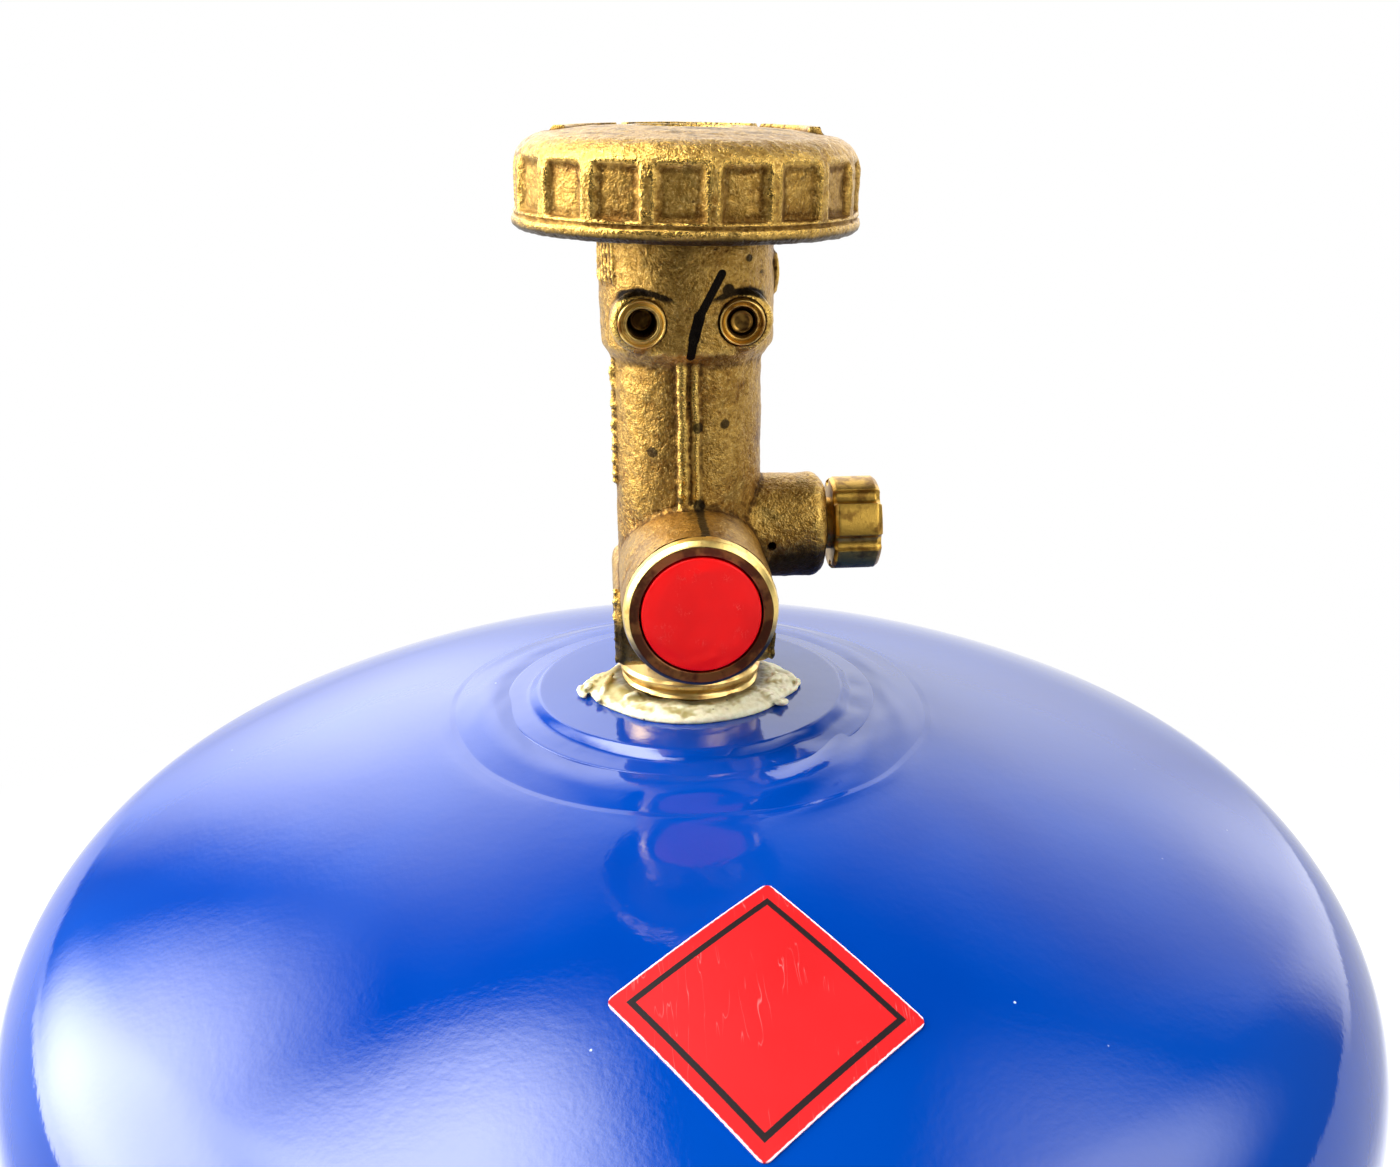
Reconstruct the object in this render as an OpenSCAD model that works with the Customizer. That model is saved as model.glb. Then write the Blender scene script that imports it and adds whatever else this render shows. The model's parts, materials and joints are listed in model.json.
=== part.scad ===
// Steel gas cylinder with a hand-wheel valve, in millimetres.
// +Z is up and the floor is z = 0. The origin is the centre of the foot ring's underside.
// The gas outlet points to -Y, the bleed screw to +X and the relief valve to +Y.

/* [Tank] */
// Outside diameter of the tank
tank_d = 300; // [292:1:308]
// Straight length of the tank between its two heads
shell_len = 288; // [200:1:400]
// Outside crown radius of the heads
crown_r = 281.6; // [272:0.1:300]
// Outside knuckle radius of the heads
knuckle_r = 43.7; // [38:0.1:50]
// Thickness of the steel sheet
wall = 3; // [2.4:0.1:3.4]
// Height of the lower head above the floor
ground_gap = 18; // [13:1:30]
// Length of the joggle's lap inside the upper shell
lap_len = 12; // [8:1:20]
// Width of the girth weld's bead
girth_bead_w = 9; // [7:0.5:12]
// Height of the girth weld's bead
girth_bead_h = 1.2; // [0.8:0.1:2]

/* [Foot ring] */
// Outside diameter of the foot ring
foot_d = 236; // [220:1:244]
// Thickness of the foot ring's sheet
foot_wall = 3; // [2.5:0.1:4]
// Outside radius of the bend at the foot
foot_bend_r = 6; // [5:0.5:9]
// Width of the flat flange turned inwards
foot_flange = 14; // [8:1:20]
// Diameter of the vent holes in the foot ring
vent_d = 18; // [12:1:20]
// Number of pairs of opposite vent holes
vent_pairs = 3; // [2:1:4]
// Leg of the weld under the lower head
foot_weld_leg = 5; // [4:0.5:6]

/* [Valve seat on the tank] */
// Diameter of the neck boss
neck_d = 67; // [62:1:72]
// Height of the neck boss's rim above the dome
neck_rise = 1.5; // [1.2:0.1:2.5]
// Depth of the neck boss
neck_h = 30; // [28:1:34]
// Outside diameter of the pressed ring round the neck boss
step_d = 93; // [86:0.2:94]
// Height of the pressed ring's edge above the dome
step_rise = 1.2; // [0.5:0.1:1.4]
// Diameter at which the pressed ring runs out into the dome
step_edge_d = 103.6; // [100:0.2:110]
// Leg of the weld round the neck boss
neck_weld_leg = 4; // [3:0.1:4.5]

/* [Sticker] */
// Side of the square sticker
sticker_side = 37; // [30:0.2:42]
// Thickness of the sticker
sticker_t = 0.3; // [0.2:0.05:0.5]
// Distance of the sticker's centre from the tank's axis
sticker_r = 95.4; // [92:0.2:98]
// Turn of the sticker in its own plane, from corner up
sticker_turn = 10; // [0:1:20]

/* [Valve body] */
// Diameter of the tapered tail at the neck boss
tail_d = 28.8; // [28:0.1:29.4]
// Diameter of the tail's lower end
tail_end_d = 25.8; // [25.4:0.1:26.4]
// Depth of the tail in the neck boss
tail_depth = 25; // [22:1:27]
// Gap between the neck boss and the flange above the tail
tail_gap = 0.8; // [0.5:0.1:1.5]
// Diameter of the flange above the tail
flange_d = 30; // [29.8:0.1:31]
// Height of the wrench block's underside above the neck boss
block_z = 10.5; // [9:0.5:11]
// Height of the wrench block
block_h = 17.5; // [16:0.1:20]
// Width of the wrench block
block_w = 32.6; // [31.6:0.2:34]
// Corner radius of the wrench block
block_corner_r = 4; // [3:0.5:5]
// Diameter of the column
column_d = 30.2; // [29.6:0.2:31]
// Height of the column's top above the neck boss
column_top = 72.4; // [71.5:0.1:73]
// Diameter of the collar
collar_d = 35; // [34.6:0.1:36]
// Height of the collar's top above the neck boss
collar_top = 99; // [98.5:0.1:100]
// Height of the chamfer under the collar
collar_chamfer = 2.8; // [2:0.1:3.4]
// Diameter of the two casting ribs on the column
rib_d = 2.3; // [1.6:0.1:2.6]
// Distance of the ribs' centres from each other
rib_pitch = 2.5; // [2:0.1:3]

/* [Outlet] */
// Height of the outlet's axis above the neck boss
outlet_z = 29.3; // [28.5:0.1:30]
// Distance of the outlet's face from the valve's axis
outlet_face = 36; // [35:0.5:38]
// Diameter of the outlet boss
outlet_d = 30.2; // [29.8:0.2:31]
// Width of the chamfer round the outlet's face
outlet_chamfer = 1.3; // [0.8:0.1:1.6]
// Diameter of the counterbore in front of the thread
mouth_d = 23.8; // [23.4:0.1:24.2]
// Depth of the counterbore
mouth_depth = 7; // [6.5:0.1:8]
// Diameter of the wall of the left-hand outlet thread
outlet_thread_d = 21; // [20.6:0.1:21.4]
// Length of the outlet thread
outlet_thread_len = 11.5; // [10:0.5:12]

/* [Bleed screw] */
// Height of the bleed axis above the neck boss
bleed_z = 35.9; // [35.5:0.1:37]
// Distance of the bleed boss's face from the valve's axis
bleed_face = 28.5; // [27.5:0.5:30]
// Diameter of the bleed boss
bleed_boss_d = 22; // [21:0.2:23]
// Edge radius of the bleed boss
bleed_edge_r = 3; // [1.5:0.5:3.5]
// Diameter of the bleed thread's wall
bleed_thread_d = 9.6; // [9:0.2:10]
// Diameter of the bleed knob
bleed_knob_d = 20; // [18:0.2:22]
// Length of the bleed knob
bleed_knob_len = 10; // [8:0.5:12]
// Gap between the bleed boss and the knob
bleed_gap = 1.5; // [1:0.1:2]
// Number of grooves in the bleed knob
bleed_grooves = 6; // [5:1:8]
// Diameter of the bleed's vent hole
bleed_vent_d = 1.8; // [1.2:0.1:2]

/* [Relief valve] */
// Height of the relief valve's axis above the neck boss
relief_z = 19.5; // [19.5:0.1:20]
// Distance of the relief boss's face from the valve's axis
relief_face = 36; // [35.5:0.5:40]
// Diameter of the relief boss
relief_boss_d = 25; // [23:0.5:25.5]
// Diameter of the relief valve's bore
relief_bore_d = 16; // [15.5:0.1:17]
// Diameter of the spring wire
relief_wire_d = 1.1; // [0.8:0.1:1.3]
// Mean diameter of the relief spring
relief_coil_d = 9.4; // [8.8:0.1:10.4]
// Number of turns of the relief spring
relief_turns = 5; // [4:1:5]

/* [Bonnet and spindle] */
// Diameter of the valve chamber
chamber_d = 14; // [13.6:0.1:14.2]
// Diameter of the bonnet thread's wall
bonnet_thread_d = 19.2; // [18.8:0.1:20]
// Diameter of the bonnet's bore in the collar
bonnet_bore_d = 24.1; // [23.8:0.1:24.4]
// Diameter of the locking pins
pin_d = 5.3; // [5:0.1:5.5]
// Distance of the locking pins from each other
pin_pitch = 19.2; // [19:0.1:20]
// Height of the locking pins above the neck boss
pin_z = 81.5; // [81:0.1:82.5]
// Diameter of the forged bosses round the pins
pin_boss_d = 12; // [11:0.2:12.6]
// Diameter of the spindle
spindle_d = 9; // [8.8:0.1:9.2]
// Side of the spindle's lower drive
tang_side = 5; // [4.6:0.1:5.2]
// Diameter of the stem's thread
stem_d = 13; // [12.6:0.1:13.2]
// Lift of the valve stem when it is fully open
stem_lift = 3.75; // [2:0.05:4]
// Diameter of the seat's orifice
orifice_d = 6; // [4:0.5:7]

/* [Hand wheel] */
// Diameter of the hand wheel's rim band
wheel_d = 68.6; // [64:0.2:72]
// Height of the hand wheel's lower edge above the neck boss
wheel_z = 97.6; // [97:0.1:98.4]
// Height of the hand wheel
wheel_h = 19.7; // [19:0.1:20.6]
// Number of pairs of opposite ribs on the hand wheel
wheel_rib_pairs = 9; // [6:1:10]
// Width of a rib
wheel_rib_w = 3; // [2:0.1:4]
// Depth of the panels between the ribs
panel_depth = 0.9; // [0.5:0.1:1.2]
// Radius of the hand wheel's shoulder
shoulder_r = 6; // [4:0.5:7]
// Thickness of the hand wheel's plate
plate_t = 5.5; // [4.5:0.5:6]

/* [Clearances] */
// Radial clearance of screwed and pushed-in pieces of one body
fit_gap = 0.1; // [0.05:0.05:0.15]
// Radial running clearance of the spindle in the bonnet
run_gap = 0.05; // [0.03:0.01:0.08]
// Gap between pieces that move past each other
move_gap = 0.3; // [0.25:0.05:0.4]

/* [Hidden] */
$fn = 96;

paint = "#1046b4";
steel = "#8f9296";
brass = "#c9a24a";
bright_brass = "#d9b65c";
black_rubber = "#202020";

// Heads: a spherical crown that meets a toroidal knuckle at a common tangent
tank_r = tank_d / 2;
function head_height(r, crown, knuckle) =
    crown - sqrt(pow(crown - knuckle, 2) - pow(r - knuckle, 2));
function tangent_r(r, crown, knuckle) = crown * (r - knuckle) / (crown - knuckle);
function crown_drop(r) = crown_r - sqrt(crown_r * crown_r - r * r);

head_h = head_height(tank_r, crown_r, knuckle_r);
low_tangent_z = ground_gap + head_h;
high_tangent_z = low_tangent_z + shell_len;
apex_z = high_tangent_z + head_h;

// Girth seam: the lower shell's edge is set in by one wall and laps inside the upper shell
joggle_len = 6;
seam_z = low_tangent_z + shell_len / 2;
seam_gap = 2;

// Valve seat
neck_r = neck_d / 2;
neck_top = neck_rise - crown_drop(neck_r);
step_top = step_rise - crown_drop(step_d / 2);
neck_flange_t = 9;
neck_foot_d = 46;
valve_z = apex_z + neck_top;

// Sticker, turned from the outlet's side towards the bleed screw
sticker_azimuth = 3.4;
sticker_glue = 0.05;

// Foot ring
foot_r = foot_d / 2;
foot_top_z = ground_gap + crown_drop(foot_r);
vent_z = foot_bend_r + (foot_top_z - foot_bend_r) / 2;

// Valve body, above the neck boss
inlet_d = 9;
chamber_z = outlet_z - 1.8;
nozzle_h = 2.8;
nozzle_wall = 1.6;
bonnet_z = chamber_z + 19.5;
bonnet_shoulder_z = bonnet_z + 19;
outlet_passage_d = 6;
outlet_passage_z = outlet_z + 1.3;
cone_depth = 4.5;
dip_x = 9.3;
dip_passage_d = 2.4;
dip_tube_d = 3.2;
dip_tube_bore_d = 2;
dip_seat = 8;
fill_share = 0.88;
bleed_seat_x = 14.8;
bleed_cavity_d = 7.2;
bleed_thread_x = 19.5;
bleed_orifice_d = 2;
bleed_vent_x = 16.5;
bleed_vent_tilt = 7;
pin_bore_d = pin_d + 2 * fit_gap;
pin_boss_y = 16.6;
pin_ring_d = 9.4;
pin_face_y = 17;
pin_bore_end = 11;
relief_seat_y = 14;
relief_nozzle_h = 1.5;
relief_passage_d = 6.4;
relief_nozzle_d = 10;

// Bonnet, spindle and stem
seal_t = 1.5;
bonnet_r = bonnet_bore_d / 2 - fit_gap;
bonnet_thread_r = bonnet_thread_d / 2 - fit_gap;
bonnet_top = collar_top + 3;
bonnet_nose_d = 17;
groove_half = pin_d / 2 + 2 * fit_gap;
groove_r = pin_pitch / 2 - pin_d / 2 - fit_gap;
spindle_r = spindle_d / 2;
stem_bore_r = stem_d / 2 + fit_gap;
thrust_z = bonnet_shoulder_z + 0.5;
washer_t = 1.4;
washer_gap = 0.2;
collar_t = 3;
spindle_collar_z = thrust_z - 2 * washer_gap - washer_t - collar_t;
spindle_collar_r = stem_bore_r - move_gap - fit_gap;
o_ring_d = 1.6;
o_ring_zs = [bonnet_top - 14.5, bonnet_top - 9.5];
o_ring_mean_r = spindle_r - o_ring_d / 2;
closed_gap = move_gap;
pad_z = chamber_z + nozzle_h + closed_gap;
pad_t = 2.6;
pad_r = 4.6;
pad_proud = 0.7;
stem_z = pad_z + pad_proud;
stem_neck_r = 5.6;
stem_top = spindle_collar_z - stem_lift - 1.4;
tang_z = bonnet_z - 2;
socket_z = tang_z - stem_lift - 0.75;
socket_side = tang_side + 2 * fit_gap;

// Hand wheel
wheel_r = wheel_d / 2;
wheel_top = wheel_z + wheel_h;
rim_band_z = wheel_z + 0.4;
rim_band_h = 3;
rib_r = wheel_r - 0.4;
rib_turn = 14.5;
dome_r = 243;
panel_r = rib_r - panel_depth;
rib_slope = shoulder_r / 2;
shoulder_z = wheel_top - head_height(panel_r, dome_r, shoulder_r);
hub_d = 26;
hub_z = bonnet_top + 1.2;
hub_top = wheel_top - 5.8;
hub_recess_d = 20;
rim_wall = 4;
drive_side = 6.2;
stub_d = 6;
wheel_washer_t = 1;
wheel_washer_d = 13;
nut_t = 3.4;
nut_flats = 10;
raised_arc_w = 3;
raised_arc_r = 25;
raised_arc_top = wheel_top - 0.1;
raised_arcs_at = [[23, 25], [85, 34], [149, 26]];

// Relief valve
poppet_y = relief_seat_y + relief_nozzle_h + move_gap;
relief_seal_t = 1.5;
relief_seal_d = 12;
poppet_t = 3.5;
poppet_d = relief_bore_d - 2;
poppet_stem_d = 4;
relief_plug_t = 5;
relief_plug_y = relief_face - 9;
relief_plug_d = relief_bore_d + 1;
relief_lift = 2;
relief_cap_skirt = 3.7;
spring_start = poppet_y + poppet_t;
spring_len = relief_plug_y - spring_start;
spring_end_turns = 0.9;
spring_steps = 18;
spring_sides = 6;

// Bleed screw
bleed_seal_x = bleed_seat_x + move_gap;
bleed_seal_t = 2;
bleed_seal_d = 4.8;
bleed_pin_d = 1.6;
bleed_pin_len = 1.8;
bleed_tip_x = bleed_seal_x + bleed_seal_t + move_gap / 2;
bleed_neck_d = 11;
bleed_groove_d = 3.2;
knob_turn = 40;
knob_edge = 0.6;

// Outlet plug
plug_d = mouth_d - 1.6;
plug_proud = 0.4;
plug_t = 2.2;
plug_skirt_len = 4.2;
plug_skirt_wall = 1.5;
plug_bead_t = 1;

// ---- shared profiles and placing ----

// What lies outside a head's half section beyond from_r, with its apex at the origin: the
// space over the crown, and the corner outside the knuckle beyond their common tangent
module over_head_2d(r, crown, knuckle, from_r) {
    h = head_height(r, crown, knuckle);
    side = (r - knuckle) / (crown - knuckle);
    reach = knuckle + 10;
    corner = [r - knuckle + reach * side, reach * sqrt(1 - side * side) - h];
    difference() {
        translate([from_r, -h]) square([r - from_r + 1, h + 2]);
        translate([0, -crown]) circle(crown, $fn = 360);
    }
    difference() {
        polygon([[r - knuckle, -h], corner, [r + 1, corner[1]], [r + 1, -h]]);
        translate([r - knuckle, -h]) circle(knuckle, $fn = 360);
    }
}

// Half section of the upper head's outside, set in by inset, with its pressed ring
module upper_head_2d(inset, skirt) {
    r = tank_r - inset;
    rim_r = step_edge_d / 2;
    bottom = inset - head_h - skirt;
    translate([0, -inset]) difference() {
        translate([0, bottom]) square([r, step_top - bottom]);
        over_head_2d(r, crown_r - inset, knuckle_r - inset, rim_r);
        polygon([
            [step_d / 2, step_top], [rim_r, -crown_drop(rim_r)], [rim_r, step_top + 1],
            [step_d / 2, step_top + 1]
        ]);
    }
}

module lower_head_2d(inset, skirt) {
    r = tank_r - inset;
    h = head_h - inset + skirt;
    translate([0, ground_gap + inset]) mirror([0, 1]) difference() {
        translate([0, -h]) square([r, h + 1]);
        over_head_2d(r, crown_r - inset, knuckle_r - inset, 0);
    }
}

// Half section of the lower shell's outside or inside, up to the end of its lap
module lower_shell_2d(inset) {
    r = tank_r - inset;
    lap_r = r - wall - fit_gap;
    lap_z = seam_z + joggle_len;
    lower_head_2d(inset, seam_z - low_tangent_z);
    polygon([
        [0, seam_z - 1], [r, seam_z - 1], [r, seam_z], [lap_r, lap_z],
        [lap_r, lap_z + lap_len], [0, lap_z + lap_len]
    ]);
}

module at_valve() { translate([0, 0, valve_z]) children(); }
module to_front(z) { translate([0, 0, z]) rotate([90, 0, 0]) children(); }
module to_back(z) { translate([0, 0, z]) rotate([-90, 0, 0]) children(); }
module to_right(z) { translate([0, 0, z]) rotate([0, 90, 0]) children(); }

module tube(r_out, r_in, z0, z1) {
    translate([0, 0, z0]) difference() {
        cylinder(r = r_out, h = z1 - z0);
        translate([0, 0, -1]) cylinder(r = r_in, h = z1 - z0 + 2);
    }
}

module rod(r, z0, z1) { translate([0, 0, z0]) cylinder(r = r, h = z1 - z0); }

module square_rod(side, z0, z1) {
    translate([-side / 2, -side / 2, z0]) cube([side, side, z1 - z0]);
}

// ---- tank ----

module upper_shell() color(paint) {
    skirt = high_tangent_z - seam_z - joggle_len - seam_gap;
    translate([0, 0, apex_z]) rotate_extrude() difference() {
        upper_head_2d(0, skirt);
        upper_head_2d(wall, skirt + 1);
        translate([0, -head_h / 2]) square([neck_r + fit_gap, head_h]);
    }
}

module lower_shell() color(paint) rotate_extrude() difference() {
    lower_shell_2d(0);
    lower_shell_2d(wall);
    translate([0, seam_z + joggle_len]) square([tank_r - 2 * wall - fit_gap, lap_len + 1]);
}

// A round bead over the joggle's groove
module girth_weld() color(paint) {
    bead_r = (pow(girth_bead_w / 2, 2) + pow(girth_bead_h, 2)) / (2 * girth_bead_h);
    mid_z = seam_z + (joggle_len + seam_gap) / 2;
    rotate_extrude() difference() {
        intersection() {
            translate([tank_r + girth_bead_h - bead_r, mid_z]) circle(bead_r);
            translate([tank_r - wall, mid_z - girth_bead_w])
                square([2 * wall, 2 * girth_bead_w]);
        }
        lower_shell_2d(0);
        translate([0, seam_z + joggle_len + seam_gap]) square([tank_r, girth_bead_w]);
    }
}

module neck_boss() color(paint) at_valve() difference() {
    rotate_extrude() polygon([
        [0, 0], [neck_r, 0], [neck_r, -neck_flange_t],
        [neck_foot_d / 2, -neck_flange_t - 4], [neck_foot_d / 2, -neck_h], [0, -neck_h]
    ]);
    tail_bore();
}

// The tapered hole of the neck boss, which follows the valve's tail
module tail_bore() {
    slope = (tail_d - tail_end_d) / 2 / tail_depth;
    reach = neck_h + 1;
    translate([0, 0, -reach])
        cylinder(r1 = tail_d / 2 + fit_gap - slope * reach, r2 = tail_d / 2 + fit_gap + slope,
                 h = reach + 1);
}

module neck_weld() color(paint) translate([0, 0, apex_z]) rotate_extrude() polygon([
    [neck_r, step_top], [neck_r + neck_weld_leg, step_top],
    [neck_r + 0.62 * neck_weld_leg, step_top + 0.62 * (neck_top - step_top)],
    [neck_r + 0.2 * neck_weld_leg, neck_top - 0.15], [neck_r, neck_top - 0.1]
]);

module foot_ring() color(paint) difference() {
    rotate_extrude() difference() {
        union() {
            translate([foot_r - foot_wall, foot_bend_r]) square([foot_wall, foot_top_z]);
            intersection() {
                translate([foot_r - foot_bend_r, foot_bend_r]) difference() {
                    circle(foot_bend_r);
                    circle(foot_bend_r - foot_wall);
                }
                translate([foot_r - foot_bend_r, 0]) square(foot_bend_r);
            }
            translate([foot_r - foot_bend_r - foot_flange, 0]) square([foot_flange, foot_wall]);
        }
        lower_head_2d(0, 1);
    }
    for (i = [0:2 * vent_pairs - 1]) rotate([0, 0, (i + 0.5) * 180 / vent_pairs])
        translate([foot_r - 2 * foot_bend_r, 0, vent_z]) rotate([0, 90, 0])
            cylinder(d = vent_d, h = 3 * foot_bend_r);
}

module foot_ring_weld() color(paint) {
    far_r = foot_r + foot_weld_leg;
    rotate_extrude() difference() {
        polygon([
            [foot_r, foot_top_z + 4], [foot_r, foot_top_z - foot_weld_leg],
            [foot_r + 0.45 * foot_weld_leg, foot_top_z - 0.2 * foot_weld_leg],
            [far_r, ground_gap + crown_drop(far_r) + 0.3], [far_r, foot_top_z + 4]
        ]);
        lower_head_2d(0, 1);
    }
}

// A square of thin film with one corner up, wrapped on the crown
module diamond_sticker() color("#c8101a") {
    tilt = asin(sticker_r / crown_r);
    turn = 45 - sticker_turn;
    corner_r = 1.5;
    inner = sticker_side / 2 - corner_r;
    intersection() {
        translate([0, 0, apex_z - crown_r]) difference() {
            sphere(r = crown_r + sticker_glue + sticker_t);
            sphere(r = crown_r + sticker_glue);
        }
        translate([0, 0, apex_z - crown_r]) rotate([tilt, 0, sticker_azimuth])
            rotate([0, 0, turn]) linear_extrude(height = 2 * crown_r) union() {
                square([2 * inner, sticker_side], center = true);
                square([sticker_side, 2 * inner], center = true);
                for (x = [-inner, inner], y = [-inner, inner]) translate([x, y]) circle(corner_r);
            }
    }
}
module thread_sealant() color("#cfc7a2") at_valve() rotate_extrude() difference() {
    polygon([
        [tail_d / 2 + fit_gap, 0], [flange_d / 2 + 7.5, 0], [flange_d / 2 + 6.4, 0.8],
        [flange_d / 2 + 2.2, 1.9], [flange_d / 2, 3], [tail_d / 2 + fit_gap, 3]
    ]);
    translate([0, tail_gap]) square([flange_d / 2, block_z]);
}

// ---- valve body ----

module wrench_block() {
    inner = block_w / 2 - block_corner_r;
    translate([0, 0, block_z]) linear_extrude(height = block_h) union() {
        square([2 * inner, block_w], center = true);
        square([block_w, 2 * inner], center = true);
        for (x = [-inner, inner], y = [-inner, inner])
            translate([x, y]) circle(block_corner_r);
    }
}

module outlet_boss() {
    to_front(outlet_z) {
        rod(outlet_d / 2, 0, outlet_face - outlet_chamfer);
        translate([0, 0, outlet_face - outlet_chamfer])
            cylinder(r1 = outlet_d / 2, r2 = outlet_d / 2 - outlet_chamfer, h = outlet_chamfer);
    }
}

module bleed_boss() {
    to_right(bleed_z) rotate_extrude() union() {
        square([bleed_boss_d / 2, bleed_face - bleed_edge_r]);
        square([bleed_boss_d / 2 - bleed_edge_r, bleed_face]);
        translate([bleed_boss_d / 2 - bleed_edge_r, bleed_face - bleed_edge_r])
            circle(bleed_edge_r);
    }
}

module pin_bosses() {
    for (x = [-pin_pitch / 2, pin_pitch / 2]) translate([x, 0, 0]) to_front(pin_z) {
        rod(pin_boss_d / 2, 0, pin_boss_y - 1);
        translate([0, 0, pin_boss_y - 1])
            cylinder(r1 = pin_boss_d / 2, r2 = pin_ring_d / 2, h = 1);
        rod(pin_ring_d / 2, 0, pin_face_y);
    }
}

module valve_casting() {
    slope = (tail_d - tail_end_d) / 2 / tail_depth;
    translate([0, 0, -tail_depth])
        cylinder(r1 = tail_end_d / 2, r2 = tail_d / 2 + slope * tail_gap,
                 h = tail_depth + tail_gap);
    rod(flange_d / 2, tail_gap, block_z + 1);
    wrench_block();
    rod(column_d / 2, block_z, column_top + 1);
    translate([0, 0, column_top])
        cylinder(r1 = column_d / 2, r2 = collar_d / 2, h = collar_chamfer);
    rod(collar_d / 2, column_top + collar_chamfer, collar_top);
    for (x = [-rib_pitch / 2, rib_pitch / 2]) translate([x, 0.1 - column_d / 2, 0])
        rod(rib_d / 2, outlet_z, column_top + collar_chamfer);
    outlet_boss();
    bleed_boss();
    pin_bosses();
    to_back(relief_z) rod(relief_boss_d / 2, 0, relief_face);
}

module outlet_bores() {
    thread_end = outlet_face - mouth_depth - outlet_thread_len;
    to_front(outlet_z) {
        rod(mouth_d / 2, outlet_face - mouth_depth, outlet_face + 1);
        rod(outlet_thread_d / 2, thread_end, outlet_face - mouth_depth + 1);
        translate([0, 0, thread_end - cone_depth])
            cylinder(r1 = outlet_passage_d / 2 + 1.5, r2 = outlet_thread_d / 2 - 1,
                     h = cone_depth + 0.01);
    }
    to_front(outlet_passage_z)
        rod(outlet_passage_d / 2, chamber_d / 2 - 0.5, thread_end - cone_depth + 1);
}

module bleed_bores() {
    to_right(bleed_z) {
        rod(bleed_orifice_d / 2, dip_x, bleed_seat_x + 1);
        rod(bleed_cavity_d / 2, bleed_seat_x, bleed_thread_x + 1);
        rod(bleed_thread_d / 2, bleed_thread_x, bleed_face + 1);
    }
    translate([bleed_vent_x, 0, bleed_z]) rotate([90 + bleed_vent_tilt, 0, 0])
        rod(bleed_vent_d / 2, 0, bleed_boss_d);
    translate([dip_x, 0, 0]) {
        rod(dip_passage_d / 2, -tail_depth - 1, bleed_z);
        rod(dip_tube_d / 2 + fit_gap / 2, -tail_depth - 1, dip_seat - tail_depth);
    }
}

module relief_bores() {
    to_back(relief_z) {
        rod(relief_passage_d / 2, 0, relief_seat_y + relief_nozzle_h + 1);
        tube(relief_bore_d / 2, relief_nozzle_d / 2, relief_seat_y,
             relief_seat_y + relief_nozzle_h);
        rod(relief_bore_d / 2, relief_seat_y + relief_nozzle_h, relief_face + 1);
        rod(relief_plug_d / 2 + fit_gap, relief_plug_y - fit_gap, relief_face + 1);
    }
}

module valve_body() color(brass) at_valve() difference() {
    valve_casting();
    rod(inlet_d / 2, -tail_depth - 1, relief_z + relief_passage_d / 2 + 1);
    rod(orifice_d / 2, 0, chamber_z + nozzle_h + 1);
    tube(chamber_d / 2, orifice_d / 2 + nozzle_wall, chamber_z, chamber_z + nozzle_h);
    rod(chamber_d / 2, chamber_z + nozzle_h, bonnet_z + 1);
    rod(bonnet_thread_d / 2, bonnet_z, bonnet_shoulder_z + 1);
    rod(bonnet_bore_d / 2, bonnet_shoulder_z, collar_top + 1);
    for (x = [-pin_pitch / 2, pin_pitch / 2]) translate([x, 0, 0]) to_front(pin_z)
        rod(pin_bore_d / 2, -pin_bore_end, pin_face_y + 1);
    outlet_bores();
    bleed_bores();
    relief_bores();
}

// ---- bonnet and what it holds ----

module bonnet() color(bright_brass) at_valve() difference() {
    rotate_extrude() difference() {
        union() {
            translate([0, bonnet_z + 0.5])
                square([bonnet_thread_r, bonnet_shoulder_z + seal_t - bonnet_z]);
            translate([0, bonnet_shoulder_z + seal_t])
                square([bonnet_r, collar_top - bonnet_shoulder_z - seal_t]);
            square([bonnet_nose_d / 2, bonnet_top]);
        }
        square([bonnet_r, bonnet_z + 0.5]);
        translate([groove_r, pin_z - groove_half]) square([bonnet_r, 2 * groove_half]);
    }
    rod(stem_bore_r, 0, thrust_z);
    rod(spindle_r + run_gap, 0, bonnet_top + 1);
}

module bonnet_seal() color("#d8d2c0") at_valve()
    tube(bonnet_r, bonnet_thread_d / 2, bonnet_shoulder_z, bonnet_shoulder_z + seal_t);

// The right pin stands nearer to its bore's mouth than the left one
module locking_pins() color(bright_brass) at_valve() {
    pin_len = 21;
    chamfer = 0.5;
    for (p = [[-1, 11], [1, 15.5]]) translate([p[0] * pin_pitch / 2, 0, 0]) to_front(pin_z) {
        rod(pin_d / 2, p[1] - pin_len, p[1] - chamfer);
        translate([0, 0, p[1] - chamfer])
            cylinder(r1 = pin_d / 2, r2 = pin_d / 2 - chamfer, h = chamfer);
    }
}

module thrust_washer() color("#e8e4d8") at_valve()
    tube(spindle_collar_r, spindle_r + move_gap, thrust_z - washer_gap - washer_t,
         thrust_z - washer_gap);

module spindle() color(bright_brass) at_valve() difference() {
    union() {
        square_rod(tang_side, tang_z, spindle_collar_z);
        rod(spindle_collar_r, spindle_collar_z, spindle_collar_z + collar_t);
        rod(spindle_r, spindle_collar_z, hub_z);
        square_rod(drive_side, hub_z, hub_top);
        rod(stub_d / 2, hub_z, hub_top + wheel_washer_t + nut_t + 0.4);
    }
    for (z = o_ring_zs) tube(spindle_r + 1, spindle_r - o_ring_d, z - 0.65 * o_ring_d,
                             z + 0.65 * o_ring_d);
}

module spindle_o_rings() color(black_rubber) at_valve() for (z = o_ring_zs)
    rotate_extrude() translate([o_ring_mean_r, z]) circle(d = o_ring_d);

module valve_stem() color(bright_brass) at_valve() difference() {
    union() {
        rod(stem_neck_r, stem_z, bonnet_z + 1);
        rod(stem_d / 2, bonnet_z + 1, stem_top);
    }
    rod(pad_r + fit_gap / 2, stem_z - 1, pad_z + pad_t);
    square_rod(socket_side, socket_z, stem_top + 1);
}

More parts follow.
